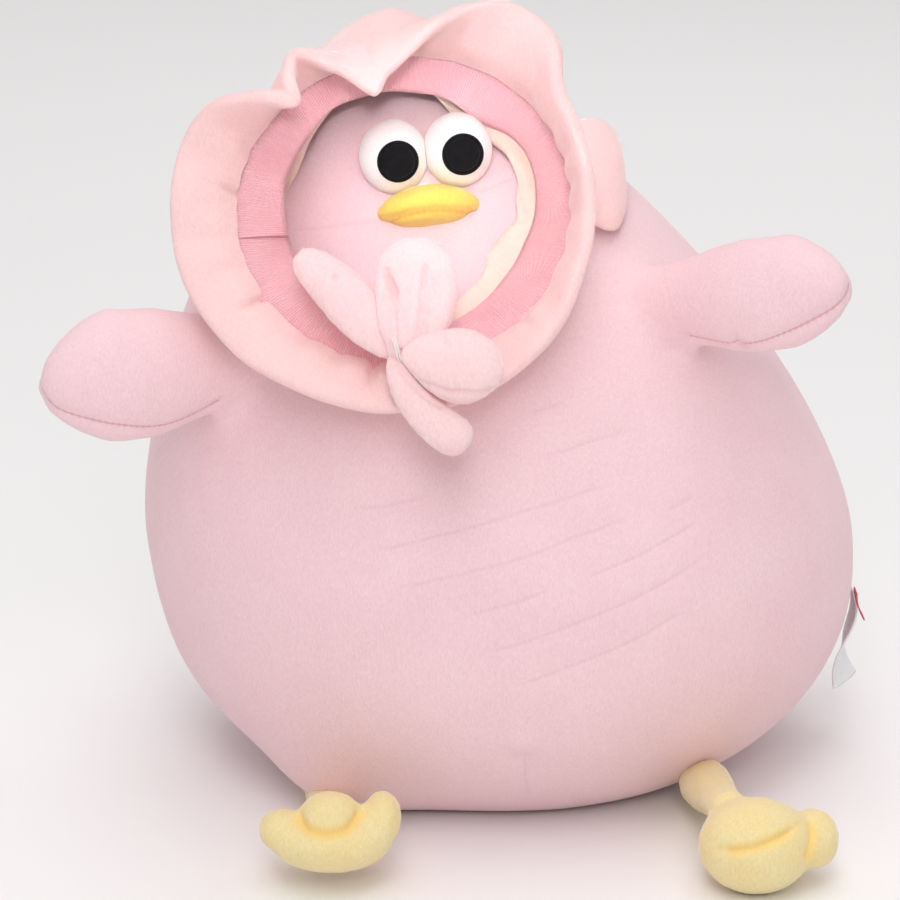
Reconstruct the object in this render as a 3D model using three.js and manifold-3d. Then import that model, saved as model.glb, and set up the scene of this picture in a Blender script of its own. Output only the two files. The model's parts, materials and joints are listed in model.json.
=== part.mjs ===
// A squishy plush chicken in a bonnet, sitting on its base. Millimetres, +Z up, the face looks along -Y.
// Left and right are the toy's own sides, so its left is +X.
import * as THREE from "three";
import { mergeVertices } from "three/addons/utils/BufferGeometryUtils.js";
import { ConvexGeometry } from "three/addons/geometries/ConvexGeometry.js";
import Module from "manifold-3d";

const wasm = await Module();
wasm.setup();

// Body: a pear of stretch velour round loose fibre, whose upper part leans to the toy's right
const BODY_HEIGHT = 335;
const BODY_WIDTH = 319;
const BODY_DEPTH = 264;
const BODY_WIDEST_HEIGHT = 111;
const BODY_SHOULDER_POWER = 1.54;
const BODY_CROWN_POWER = 0.77;
const BODY_SEAT_POWER = 2.6;
const BASE_WIDTH = 184;
const BASE_SEAM_INSET = 4;
const BASE_PROUD = 0.6;
const COVER_WALL = 2;
const LEAN = 50;
const LEAN_START = 70;
const LEAN_POWER = 1.5;

// Face
const EYE_DIAMETER = 30;
const EYE_SPACING = 28;
const EYE_HEIGHT = 290;
const EYE_SINK = 11;
const PUPIL_DIAMETER = 15.5;
const PUPIL_THICKNESS = 1.2;
const PUPIL_PITCH = 5;
const PUPIL_YAW = 5;
const BEAK_WIDTH = 42;
const BEAK_LENGTH = 34;
const BEAK_THICKNESS = 16;
const BEAK_HEIGHT = 271;
const BEAK_SEAM_DROP = 2;
const FACE_PITCH = 25;
const FACE_ROLL = 6.5;
const FACE_SHIFT = 1.5;

// Wings: flattened almonds, sewn to the front of the shoulders
const WING_HEIGHT_ON_BODY = 214;
const WING_SKEW = 10;
const WING_TILT = 7;
const WING_AZIMUTH = 41;
const WING_LENGTH = 72;
const WING_HEIGHT = 54;
const WING_DEPTH = 38;
const WING_WIDEST = 30;
const WING_ROOT_DIAMETER = 30;
const WING_TIP_POWER = 1.9;
const WING_TIP_TAPER = 0.62;
const WING_FORWARD = 22;
const WING_LIFT = 3;
const WING_SEAM_TILT = 36;

// Legs and feet, lying forward on the floor
const HIP_HEIGHT = 27;
const HIP_AZIMUTH = 42;
const LEG_TOP_DIAMETER = 24;
const LEG_ANKLE_DIAMETER = 19;
const LEG_LENGTH = 48;
const LEG_PITCH = 3;
const LEFT_LEG_TURN = 8;
const RIGHT_LEG_TURN = -15;
const FOOT_PAD_WIDTH = 46;
const FOOT_PAD_LENGTH = 42;
const FOOT_THICKNESS = 32;
const FOOT_REACH = 14;
const TOE_WIDTH = 22;
const TOE_LENGTH = 34;
const TOE_THICKNESS = 24;
const TOE_SPREAD = 44;
const TOE_REACH = 16;
const LEFT_FOOT_TOE_LIFT = 8;
const RIGHT_FOOT_TOE_LIFT = 34;
const FLOOR_CLEARANCE = 0.4;

// Bonnet: a seam ring round the face, worn a little to the toy's right and leaning back with the head
const BONNET_HEIGHT = 266;
const BONNET_SHIFT = -13;
const BONNET_PITCH = 30;
const BONNET_ROLL = 8;
const SEAM_WIDTH = 138;
const SEAM_LENGTH = 131;
const SEAM_STANDOFF = 15;
const RUFFLE_WIDTH = 26;
const RUFFLE_THICKNESS = 5;
const RUFFLE_EDGE = 1.6;
const RUFFLE_SWELL = 0.35;
const RUFFLE_EDGE_POWER = 6;
const RUFFLE_WAVES = 9;
const RUFFLE_FLARE = 12;
const RUFFLE_WAVE_FLARE = 5;
const RUFFLE_TOP_DROOP = 78;
const RUFFLE_TOP_WAVE = 20;
const RUFFLE_TOP_ANGLE = 105;
const RUFFLE_TOP_SPREAD = 48;
const RUFFLE_SIDE_CUP = 58;
const RUFFLE_SIDE_SPREAD = 42;
const BAND_WIDTH = 21;
const BAND_THICKNESS = 1.6;
const BAND_SLOPE = 28;
const BAND_TOP_NARROWING = 0.6;
const LINING_WIDTH = 20.5;
const LINING_THICKNESS = 1;
const LINING_DROP = 2.7;
const CROWN_WALL = 2.5;
const CROWN_SWELL = 6.5;
const CROWN_HEM_HEIGHT = 283;
const FRILL_HEIGHT = 23;
const FRILL_THICKNESS = 4;
const FRILL_BULGE = 2;
const FRILL_START = -38;
const FRILL_END = 218;
const FRILL_WAVES = 7;
const FRILL_WAVE_DEPTH = 1.2;

// Bow, tied at the chin in two layers: the tails behind, the loops in front
const BOW_DROP = 71;
const BOW_SHIFT = -13;
const BOW_TAIL_LEVEL = 28;
const BOW_LOOP_LEVEL = 38.5;
const BOW_TAIL_THICKNESS = 9;
const BOW_LOOP_THICKNESS = 11;
const BOW_MIDDLE_DIAMETER = 10;
const BOW_TUCK = 1;
const BOW_LOBES = [
  { name: "bow_upper_tail", angle: 123, length: 58, width: 25, widest: 40, root: 12, loop: false },
  { name: "bow_upper_loop", angle: 66, length: 49, width: 33, widest: 29, root: 11, loop: true },
  { name: "bow_lower_loop", angle: -19, length: 48, width: 34, widest: 28, root: 11, loop: true },
  { name: "bow_lower_tail", angle: -63, length: 45, width: 23, widest: 31, root: 12, loop: false },
];
const LOOP_TIP_POWER = 2;
const TAIL_TIP_POWER = 4;
const BOW_TIP_TAPER = 0.5;
const THREAD_DIAMETER = 0.9;
const THREAD_CORNER = 0.15;
const THREAD_TURN = 12;

// Care label, sewn into the left side seam
const LABEL_HEIGHT_ON_BODY = 81;
const LABEL_WIDTH = 24;
const LABEL_LENGTH = 50;
const LABEL_THICKNESS = 1;
const LABEL_TWIST = 32;
const LABEL_CURL = 3;

// Facets
const BODY_SIDES = 28;
const LOWER_RINGS = 6;
const LOWER_RING_SPREAD = 1.3;
const UPPER_RINGS = 10;
const EYE_SIDES = 14;
const EYE_RINGS = 9;
const BEAK_SIDES = 16;
const BEAK_RINGS = 9;
const CAP_STEPS = 3;
const SWELL_STEPS = 2;
const TIP_STEPS = 5;
const WING_SIDES = 14;
const LEG_SIDES = 12;
const PAD_SIDES = 12;
const PAD_RINGS = 7;
const TOE_SIDES = 9;
const TOE_RINGS = 6;
const WAVE_COLUMNS = 8;
const RUFFLE_ROWS = 4;
const RING_COLUMNS = 40;
const CROWN_SIDES = 16;
const CROWN_RINGS = 5;
const FRILL_WAVE_COLUMNS = 4;
const FRILL_ROWS = 4;
const BOW_SIDES = 12;
const THREAD_STEPS = 24;
const THREAD_SIDES = 3;
const SEAT_SAMPLES = 5;
const LABEL_COLUMNS = 3;
const LABEL_ROWS = 8;

const FIT = 0.3;
const WELD = 0.001;
const FAR = 1000;

const rad = THREE.MathUtils.degToRad;
const model = new THREE.Group();
const joints = {};

// Solids for joining and cutting

function solidOf(geometry) {
  const bare = geometry.clone();
  bare.deleteAttribute("normal");
  bare.deleteAttribute("uv");
  const merged = mergeVertices(bare, WELD);
  const index = merged.getIndex().array;
  const triangles = [];
  for (let i = 0; i < index.length; i += 3) {
    const [a, b, c] = [index[i], index[i + 1], index[i + 2]];
    if (a !== b && b !== c && c !== a) triangles.push(a, b, c);
  }
  const vertProperties = Float32Array.from(merged.getAttribute("position").array);
  const triVerts = Uint32Array.from(triangles);
  return new wasm.Manifold(new wasm.Mesh({ numProp: 3, vertProperties, triVerts }));
}

function addPiece(group, name, solid, finish) {
  const { vertProperties, triVerts } = solid.getMesh();
  const geometry = new THREE.BufferGeometry();
  geometry.setAttribute("position", new THREE.BufferAttribute(Float32Array.from(vertProperties), 3));
  geometry.setIndex(new THREE.BufferAttribute(Uint32Array.from(triVerts), 1));
  geometry.computeVertexNormals();
  const mesh = new THREE.Mesh(geometry, finish.clone());
  mesh.name = name;
  group.add(mesh);
}

function block(min, max) {
  const size = new THREE.Vector3().subVectors(max, min);
  const geometry = new THREE.BoxGeometry(size.x, size.y, size.z);
  geometry.translate(...new THREE.Vector3().addVectors(min, max).multiplyScalar(0.5));
  return geometry;
}

function ellipsoid(width, depth, height, around, along) {
  const geometry = new THREE.SphereGeometry(0.5, around, along);
  geometry.rotateX(Math.PI / 2);
  geometry.scale(width, depth, height);
  return geometry;
}

// Moves a turned outline outwards by a distance; its two ends stay on the axis.
function offsetOutline(points, distance) {
  const normal = (a, b) => new THREE.Vector2(b.y - a.y, a.x - b.x).normalize();
  return points.map((point, i) => {
    if (i === 0) return new THREE.Vector2(0, point.y - distance);
    if (i === points.length - 1) return new THREE.Vector2(0, point.y + distance);
    const before = normal(points[i - 1], point);
    const after = normal(point, points[i + 1]);
    const middle = before.clone().add(after).normalize();
    return point.clone().addScaledVector(middle, distance / middle.dot(after));
  });
}

// A closed strip of cloth: at(u, v) gives its middle surface, half(v) half its thickness.
function clothStrip({ columns, rows, at, half, ring }) {
  const step = 1e-3;
  const positions = [];
  const stops = ring ? columns : columns + 1;
  for (const side of [1, -1]) {
    for (let i = 0; i < stops; i += 1) {
      for (let j = 0; j <= rows; j += 1) {
        const [u, v] = [i / columns, j / rows];
        const along = at(u + step, v).sub(at(u - step, v));
        const across = at(u, v + step).sub(at(u, v - step));
        const normal = along.cross(across).normalize();
        positions.push(...at(u, v).addScaledVector(normal, side * half(v)));
      }
    }
  }
  const back = stops * (rows + 1);
  const id = (i, j) => (i % stops) * (rows + 1) + j;
  const index = [];
  const quad = (a, b, c, d) => index.push(a, b, c, a, c, d);
  for (let i = 0; i < columns; i += 1) {
    for (let j = 0; j < rows; j += 1) {
      quad(id(i, j), id(i + 1, j), id(i + 1, j + 1), id(i, j + 1));
      quad(back + id(i, j), back + id(i, j + 1), back + id(i + 1, j + 1), back + id(i + 1, j));
    }
    quad(id(i, 0), back + id(i, 0), back + id(i + 1, 0), id(i + 1, 0));
    quad(id(i + 1, rows), back + id(i + 1, rows), back + id(i, rows), id(i, rows));
  }
  for (let j = 0; j < rows && !ring; j += 1) {
    quad(id(0, j + 1), back + id(0, j + 1), back + id(0, j), id(0, j));
    quad(id(columns, j), back + id(columns, j), back + id(columns, j + 1), id(columns, j + 1));
  }
  const geometry = new THREE.BufferGeometry();
  geometry.setAttribute("position", new THREE.Float32BufferAttribute(positions, 3));
  geometry.setIndex(index);
  return geometry;
}

// Finishes

const finish = (color, roughness) => new THREE.MeshStandardMaterial({ color, roughness, metalness: 0 });
const bodyVelour = finish(0xf6ccd4, 0.9);
const bonnetVelour = finish(0xfbd3cf, 0.9);
const ribbedKnit = finish(0xf3a7b3, 0.95);
const creamCloth = finish(0xfde2d6, 0.95);
const bowPlush = finish(0xf8d4d2, 1);
const whitePlush = finish(0xf7f5f3, 0.95);
const blackFelt = finish(0x121214, 0.9);
const yellowPlush = finish(0xf9d470, 0.9);
const paleYellowPlush = finish(0xebdca4, 0.95);
const fibre = finish(0xf4f4f2, 1);
const labelSatin = finish(0xf4f4f4, 0.6);

// Body shape

const DEPTH_RATIO = BODY_DEPTH / BODY_WIDTH;

function bodyHalfWidth(z) {
  if (z > BODY_WIDEST_HEIGHT) {
    const rise = (z - BODY_WIDEST_HEIGHT) / (BODY_HEIGHT - BODY_WIDEST_HEIGHT);
    return (BODY_WIDTH / 2) * Math.max(0, 1 - rise ** BODY_SHOULDER_POWER) ** BODY_CROWN_POWER;
  }
  const fall = (BODY_WIDEST_HEIGHT - z) / BODY_WIDEST_HEIGHT;
  return (BODY_WIDTH / 2) * Math.sqrt(1 - (1 - (BASE_WIDTH / BODY_WIDTH) ** 2) * fall ** BODY_SEAT_POWER);
}

// How far the body's middle has leaned sideways at a height
function leanAt(z) {
  const rise = Math.max(0, z - LEAN_START) / (BODY_HEIGHT - LEAN_START);
  return -LEAN * rise ** LEAN_POWER;
}

// Point on the cover at a height and an azimuth from +X (the left side) towards +Y (the back)
function bodyPoint(z, azimuth) {
  const half = bodyHalfWidth(z);
  return new THREE.Vector3(half * Math.cos(azimuth) + leanAt(z), half * DEPTH_RATIO * Math.sin(azimuth), z);
}

function bodyNormal(z, azimuth) {
  const step = 0.01;
  const up = bodyPoint(z + step, azimuth).sub(bodyPoint(z - step, azimuth));
  const round = bodyPoint(z, azimuth + step).sub(bodyPoint(z, azimuth - step));
  return round.cross(up).normalize();
}

function bodyGeometry(offset) {
  const outline = [new THREE.Vector2(0, 0)];
  for (let i = 0; i < LOWER_RINGS; i += 1) {
    const z = BODY_WIDEST_HEIGHT * (i / LOWER_RINGS) ** LOWER_RING_SPREAD;
    outline.push(new THREE.Vector2(bodyHalfWidth(z), z));
  }
  for (let i = 0; i < UPPER_RINGS; i += 1) {
    const rise = Math.sin((Math.PI / 2) * (i / UPPER_RINGS));
    const z = BODY_WIDEST_HEIGHT + (BODY_HEIGHT - BODY_WIDEST_HEIGHT) * rise;
    outline.push(new THREE.Vector2(bodyHalfWidth(z), z));
  }
  outline.push(new THREE.Vector2(0, BODY_HEIGHT));
  const geometry = new THREE.LatheGeometry(offsetOutline(outline, offset), BODY_SIDES);
  geometry.rotateX(Math.PI / 2);
  geometry.scale(1, DEPTH_RATIO, 1);
  const position = geometry.getAttribute("position");
  for (let i = 0; i < position.count; i += 1) position.setX(i, position.getX(i) + leanAt(position.getZ(i)));
  return geometry;
}

// Body cover, cut along the side seams and round the seat, and its filling

const bodyShell = solidOf(bodyGeometry(0)).subtract(solidOf(bodyGeometry(-COVER_WALL)));

function baseDisc(radius, low, high) {
  const disc = new THREE.CylinderGeometry(radius, radius, high - low, BODY_SIDES);
  disc.rotateX(Math.PI / 2);
  disc.translate(0, 0, (low + high) / 2);
  disc.scale(1, DEPTH_RATIO, 1);
  return solidOf(disc);
}

const baseRadius = BASE_WIDTH / 2 - BASE_SEAM_INSET;
const seatCut = baseDisc(baseRadius + FIT, -COVER_WALL, 2 * COVER_WALL);
const corner = (x, y, z) => new THREE.Vector3(x, y, z);
const frontHalf = solidOf(block(corner(-FAR, -FAR, BASE_PROUD), corner(FAR, -FIT / 2, FAR)));
const backHalf = solidOf(block(corner(-FAR, FIT / 2, BASE_PROUD), corner(FAR, FAR, FAR)));
addPiece(model, "body_front_panel", bodyShell.subtract(seatCut).intersect(frontHalf), bodyVelour);
addPiece(model, "body_back_panel", bodyShell.subtract(seatCut).intersect(backHalf), bodyVelour);
addPiece(model, "body_base_panel", baseDisc(baseRadius, 0, COVER_WALL), bodyVelour);
addPiece(model, "body_filling", solidOf(bodyGeometry(-COVER_WALL - FIT)), fibre);

const bodyCut = solidOf(bodyGeometry(FIT));

// Seats a rounded end on the cover: moves it along a direction until it stands FIT off the nearest facet.
const coverFacets = bodyGeometry(0).toNonIndexed().getAttribute("position");

function seatOnCover(place, direction, support) {
  const facet = new THREE.Triangle();
  const normal = new THREE.Vector3();
  let [gap, slope] = [-FAR, 1];
  for (let i = 0; i < coverFacets.count; i += 3) {
    facet.setFromAttributeAndIndices(coverFacets, i, i + 1, i + 2);
    if (facet.getArea() < WELD) continue;
    facet.getNormal(normal);
    const apart = place.clone().sub(facet.a).dot(normal) - support(normal);
    if (apart > gap) [gap, slope] = [apart, normal.dot(direction)];
  }
  return place.clone().addScaledVector(direction, (FIT - gap) / slope);
}

// Face: two ball eyes pressed together, stitched pupils and a beak in two halves

const FRONT = -Math.PI / 2;
const facing = (pitch, yaw, roll) => {
  const turn = new THREE.Matrix4().makeRotationZ(rad(yaw));
  turn.multiply(new THREE.Matrix4().makeRotationX(rad(90 - pitch)));
  return new THREE.Euler().setFromRotationMatrix(turn.multiply(new THREE.Matrix4().makeRotationZ(rad(roll))));
};

// The face's own frame: x to the toy's left along the line of the eyes, y up, z straight out
const face = new THREE.Group();
face.position.copy(bodyPoint(EYE_HEIGHT, FRONT));
face.position.x += FACE_SHIFT;
face.rotation.copy(facing(FACE_PITCH, 0, FACE_ROLL));
model.add(face);
face.updateMatrix();
const toFace = face.matrix.clone().invert();
const bodyInFace = bodyCut.transform(toFace.elements);

for (const [side, sign] of [["left", 1], ["right", -1]]) {
  const centre = corner((sign * EYE_SPACING) / 2, 0, EYE_DIAMETER / 2 - EYE_SINK);
  const ball = ellipsoid(EYE_DIAMETER, EYE_DIAMETER, EYE_DIAMETER, EYE_SIDES, EYE_RINGS);
  ball.translate(...centre);
  const [low, high] = sign > 0 ? [FIT / 2, FAR] : [-FAR, -FIT / 2];
  const half = solidOf(block(corner(low, -FAR, -FAR), corner(high, FAR, FAR)));
  addPiece(face, `${side}_eye`, solidOf(ball).intersect(half).subtract(bodyInFace), whitePlush);

  const reach = Math.asin(PUPIL_DIAMETER / EYE_DIAMETER);
  const cap = (radius, i) => {
    const turn = (reach * i) / CAP_STEPS;
    return new THREE.Vector2(radius * Math.sin(turn), radius * Math.cos(turn));
  };
  const outline = [];
  for (let i = 0; i <= CAP_STEPS; i += 1) outline.push(cap(EYE_DIAMETER / 2 + FIT, i));
  for (let i = CAP_STEPS; i >= 0; i -= 1) outline.push(cap(EYE_DIAMETER / 2 + FIT + PUPIL_THICKNESS, i));
  const disc = new THREE.LatheGeometry(outline, EYE_SIDES);
  disc.rotateX(Math.PI / 2 - rad(PUPIL_PITCH - FACE_PITCH));
  disc.rotateY(rad(PUPIL_YAW));
  disc.translate(...centre);
  addPiece(face, `${side}_pupil`, solidOf(disc), blackFelt);
}

const beak = new THREE.Group();
beak.position.copy(bodyPoint(BEAK_HEIGHT, FRONT).applyMatrix4(toFace)).setX(0);
face.add(beak);
const bodyInBeak = bodyInFace.translate(beak.position.clone().negate().toArray());
const almond = ellipsoid(BEAK_WIDTH, BEAK_THICKNESS, BEAK_LENGTH, BEAK_SIDES, BEAK_RINGS);
const beakBall = solidOf(almond).subtract(bodyInBeak);
const beakSeam = (low, high) => solidOf(block(corner(-FAR, low, -FAR), corner(FAR, high, FAR)));
addPiece(beak, "beak_upper", beakBall.intersect(beakSeam(-BEAK_SEAM_DROP + FIT / 2, FAR)), yellowPlush);
addPiece(beak, "beak_lower", beakBall.intersect(beakSeam(-FAR, -BEAK_SEAM_DROP - FIT / 2)), yellowPlush);

// Stuffed lobes: a turned outline along +X, flattened along Y, round at its root and tapered to its tip

function lobeGeometry({ length, root, width, widest, depth, tipPower, tipTaper, offset, sides }) {
  const outline = [new THREE.Vector2(0, -root)];
  for (let i = 1; i <= CAP_STEPS; i += 1) {
    const turn = ((Math.PI / 2) * i) / CAP_STEPS;
    outline.push(new THREE.Vector2(root * Math.sin(turn), -root * Math.cos(turn)));
  }
  for (let i = 1; i <= SWELL_STEPS; i += 1) {
    const rise = (1 - Math.cos((Math.PI * i) / SWELL_STEPS)) / 2;
    outline.push(new THREE.Vector2(root + (width / 2 - root) * rise, (widest * i) / SWELL_STEPS));
  }
  for (let i = 1; i < TIP_STEPS; i += 1) {
    const run = Math.sin(((Math.PI / 2) * i) / TIP_STEPS);
    const radius = (width / 2) * (1 - run ** tipPower) ** tipTaper;
    outline.push(new THREE.Vector2(radius, widest + (length - widest) * run));
  }
  outline.push(new THREE.Vector2(0, length));
  const geometry = new THREE.LatheGeometry(offsetOutline(outline, offset), sides);
  geometry.rotateZ(-Math.PI / 2);
  geometry.rotateX(Math.PI / 2);
  geometry.scale(1, depth / width, 1);
  return geometry;
}

// Wings: an upper and a lower panel sewn round the edge over their filling

for (const [side, sign] of [["left", 1], ["right", -1]]) {
  const wing = new THREE.Group();
  const azimuth = sign > 0 ? rad(-WING_AZIMUTH) : Math.PI + rad(WING_AZIMUTH);
  const root = WING_ROOT_DIAMETER / 2;
  const onBody = WING_HEIGHT_ON_BODY + sign * WING_SKEW;
  const lift = rad(WING_LIFT + sign * WING_TILT);
  const out = corner(sign * Math.cos(rad(WING_FORWARD)), -Math.sin(rad(WING_FORWARD)), 0);
  out.multiplyScalar(Math.cos(lift)).setZ(Math.sin(lift));
  const up = new THREE.Vector3(0, 0, 1).addScaledVector(out, -out.z).normalize();
  const across = new THREE.Vector3().crossVectors(up, out);
  const normal = bodyNormal(onBody, azimuth);
  const flat = WING_DEPTH / WING_HEIGHT;
  const support = (n) => root * Math.hypot(n.dot(out), n.dot(up), flat * n.dot(across));
  const rootPlace = bodyPoint(onBody, azimuth).addScaledVector(normal, support(normal));
  wing.position.copy(seatOnCover(rootPlace, normal, support));
  wing.quaternion.setFromRotationMatrix(new THREE.Matrix4().makeBasis(out, across, up));
  model.add(wing);
  const shape = { length: WING_LENGTH, root, width: WING_HEIGHT, widest: WING_WIDEST, depth: WING_DEPTH };
  Object.assign(shape, { tipPower: WING_TIP_POWER, tipTaper: WING_TIP_TAPER, sides: WING_SIDES });
  const outer = solidOf(lobeGeometry({ ...shape, offset: 0 }));
  const shell = outer.subtract(solidOf(lobeGeometry({ ...shape, offset: -COVER_WALL })));
  const seam = (low, high) => {
    const half = block(corner(-FAR, -FAR, low), corner(FAR, FAR, high));
    half.rotateX(sign * rad(WING_SEAM_TILT));
    return solidOf(half);
  };
  addPiece(wing, `${side}_wing_upper_panel`, shell.intersect(seam(FIT / 2, FAR)), bodyVelour);
  addPiece(wing, `${side}_wing_lower_panel`, shell.intersect(seam(-FAR, -FIT / 2)), bodyVelour);
  const stuffing = lobeGeometry({ ...shape, offset: -COVER_WALL - FIT });
  addPiece(wing, `${side}_wing_filling`, solidOf(stuffing), fibre);
  joints[`${side}_wing_flap`] = { group: wing, axis: new THREE.Vector3(0, -1, 0) };
}

// Legs: a tapered leg that turns at the hip and a foot with three toes, filled through the ankle

function legGeometry(offset) {
  const [hip, ankle] = [LEG_TOP_DIAMETER / 2, LEG_ANKLE_DIAMETER / 2];
  const outline = [];
  for (let i = 0; i <= CAP_STEPS; i += 1) {
    const turn = ((Math.PI / 2) * i) / CAP_STEPS;
    outline.push(new THREE.Vector2(hip * Math.sin(turn), -hip * Math.cos(turn)));
  }
  for (let i = CAP_STEPS; i >= 0; i -= 1) {
    const turn = ((Math.PI / 2) * i) / CAP_STEPS;
    outline.push(new THREE.Vector2(ankle * Math.sin(turn), LEG_LENGTH + ankle * Math.cos(turn)));
  }
  outline[0].x = 0;
  outline[outline.length - 1].x = 0;
  return new THREE.LatheGeometry(offsetOutline(outline, offset), LEG_SIDES);
}

function footSolid(inset, toeLift) {
  const centre = LEG_LENGTH + FOOT_REACH;
  const shrink = (size) => size - 2 * inset;
  const padSize = [FOOT_PAD_WIDTH, FOOT_PAD_LENGTH, FOOT_THICKNESS].map(shrink);
  const toeSize = [TOE_WIDTH, TOE_LENGTH, TOE_THICKNESS].map(shrink);
  const pad = ellipsoid(...padSize, PAD_SIDES, PAD_RINGS);
  let solid = solidOf(pad);
  for (const spread of [-TOE_SPREAD, 0, TOE_SPREAD]) {
    const toe = ellipsoid(...toeSize, TOE_SIDES, TOE_RINGS);
    toe.translate(0, TOE_REACH + TOE_WIDTH / 4, 0);
    toe.rotateZ(rad(spread));
    solid = solid.add(solidOf(toe));
  }
  const place = new THREE.Matrix4().makeRotationX(rad(toeLift)).setPosition(0, centre, 0);
  return solid.transform(place.elements);
}

const legSides = [
  { side: "left", sign: 1, turn: LEFT_LEG_TURN, toeLift: LEFT_FOOT_TOE_LIFT },
  { side: "right", sign: -1, turn: RIGHT_LEG_TURN, toeLift: RIGHT_FOOT_TOE_LIFT },
];
for (const { side, sign, turn, toeLift } of legSides) {
  const leg = new THREE.Group();
  const azimuth = FRONT + sign * rad(HIP_AZIMUTH);
  const normal = bodyNormal(HIP_HEIGHT, azimuth);
  const hip = LEG_TOP_DIAMETER / 2;
  const hipPlace = bodyPoint(HIP_HEIGHT, azimuth).addScaledVector(normal, hip);
  leg.position.copy(seatOnCover(hipPlace, normal, () => hip));
  leg.rotation.set(rad(LEG_PITCH), 0, Math.PI + sign * rad(turn), "ZXY");
  model.add(leg);
  leg.updateMatrix();
  const floor = block(corner(-FAR, -FAR, -FAR), corner(FAR, FAR, FLOOR_CLEARANCE));
  floor.applyMatrix4(leg.matrix.clone().invert());
  const floorCut = solidOf(floor);
  const floorWall = floorCut.translate(0, 0, COVER_WALL);
  const legOuter = solidOf(legGeometry(0));
  const legInner = solidOf(legGeometry(-COVER_WALL));
  const legRoom = solidOf(legGeometry(FIT));
  const footOuter = footSolid(0, toeLift).subtract(floorCut);
  const footInner = footSolid(COVER_WALL, toeLift).subtract(floorWall);
  const tube = legOuter.subtract(legInner).subtract(footSolid(-FIT, toeLift));
  const footCover = footOuter.subtract(footInner).subtract(legInner);
  const gap = COVER_WALL + FIT;
  const footFill = footSolid(gap, toeLift).subtract(floorCut.translate(0, 0, gap));
  const fill = solidOf(legGeometry(-gap)).add(footFill);
  addPiece(leg, `${side}_leg_cover`, tube, paleYellowPlush);
  addPiece(leg, `${side}_foot_cover`, footCover, paleYellowPlush);
  addPiece(leg, `${side}_leg_filling`, fill, fibre);
  joints[`${side}_leg_swing`] = { group: leg, axis: new THREE.Vector3(1, 0, 0) };
}

// Bonnet, in its seam ring's frame: x to the toy's left, y up along the face, z out of the opening

const bonnet = new THREE.Group();
bonnet.position.copy(bodyPoint(BONNET_HEIGHT, FRONT));
bonnet.position.x += BONNET_SHIFT;
bonnet.rotation.copy(facing(BONNET_PITCH, 0, BONNET_ROLL));
model.add(bonnet);
bonnet.updateMatrix();

// Point on the seam ring moved outwards in its plane, and its outward direction there
function seamPoint(angle, outwards, level) {
  const [a, b] = [SEAM_WIDTH / 2, SEAM_LENGTH / 2];
  const direction = new THREE.Vector2(b * Math.cos(angle), a * Math.sin(angle)).normalize();
  const x = a * Math.cos(angle) + outwards * direction.x;
  const y = b * Math.sin(angle) + outwards * direction.y;
  return new THREE.Vector3(x, y, level);
}

// How far the ruffle leans out of the ring's plane, with its gathers, in radians
function ruffleLean(angle) {
  const bump = (at, spread) => {
    const turn = Math.atan2(Math.sin(angle - rad(at)), Math.cos(angle - rad(at)));
    return Math.exp(-((turn / rad(spread)) ** 2));
  };
  const top = bump(RUFFLE_TOP_ANGLE, RUFFLE_TOP_SPREAD);
  const lean = RUFFLE_FLARE + RUFFLE_TOP_DROOP * top + RUFFLE_SIDE_CUP * bump(0, RUFFLE_SIDE_SPREAD);
  const wave = (RUFFLE_WAVE_FLARE + RUFFLE_TOP_WAVE * top) * Math.sin(RUFFLE_WAVES * angle);
  return rad(lean + wave);
}

function ruffleAt(u, v) {
  const angle = 2 * Math.PI * u;
  const lean = ruffleLean(angle);
  const start = FIT / 2 + (RUFFLE_EDGE / 2) * Math.abs(Math.sin(lean));
  const out = start + RUFFLE_WIDTH * v * Math.cos(lean);
  return seamPoint(angle, out, SEAM_STANDOFF + RUFFLE_WIDTH * v * Math.sin(lean));
}

// Thin where it is gathered into the seam, thick in the middle and rounded at its folded edge
function ruffleHalf(v) {
  const swell = Math.min(1, v / RUFFLE_SWELL);
  const edge = Math.sqrt(Math.max(0, 1 - v ** RUFFLE_EDGE_POWER));
  return RUFFLE_EDGE / 2 + ((RUFFLE_THICKNESS - RUFFLE_EDGE) / 2) * swell * edge;
}

const RUFFLE_COLUMNS = WAVE_COLUMNS * RUFFLE_WAVES;
const ruffle = { columns: RUFFLE_COLUMNS, rows: RUFFLE_ROWS, at: ruffleAt, half: ruffleHalf, ring: true };
addPiece(bonnet, "bonnet_ruffle", solidOf(clothStrip(ruffle)), bonnetVelour);

// The ribbed band slopes inwards from the seam to the face, narrower at the top; the lining lies under it.
function innerStrip(width, thickness, drop) {
  const slope = rad(BAND_SLOPE);
  const start = FIT / 2 + (thickness / 2 + drop) * Math.sin(slope);
  return (u, v) => {
    const angle = 2 * Math.PI * u;
    const top = Math.max(0, Math.sin(angle)) ** 2;
    const run = width * (1 - BAND_TOP_NARROWING * top) * v;
    const level = SEAM_STANDOFF - drop - run * Math.sin(slope);
    return seamPoint(angle, -start - run * Math.cos(slope), level);
  };
}

const bandAt = innerStrip(BAND_WIDTH, BAND_THICKNESS, 0);
const band = { columns: RING_COLUMNS, rows: 2, at: bandAt, half: () => BAND_THICKNESS / 2, ring: true };
addPiece(bonnet, "bonnet_ribbed_band", solidOf(clothStrip(band)), ribbedKnit);
const liningAt = innerStrip(LINING_WIDTH, LINING_THICKNESS, LINING_DROP);
const lining = { columns: RING_COLUMNS, rows: 2, at: liningAt, half: () => LINING_THICKNESS / 2, ring: true };
addPiece(bonnet, "bonnet_lining", solidOf(clothStrip(lining)), creamCloth);

// The crown is drawn from the upper half of the seam over the top and back of the head, and puffs up there.
const toBonnet = bonnet.matrix.clone().invert();

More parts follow.
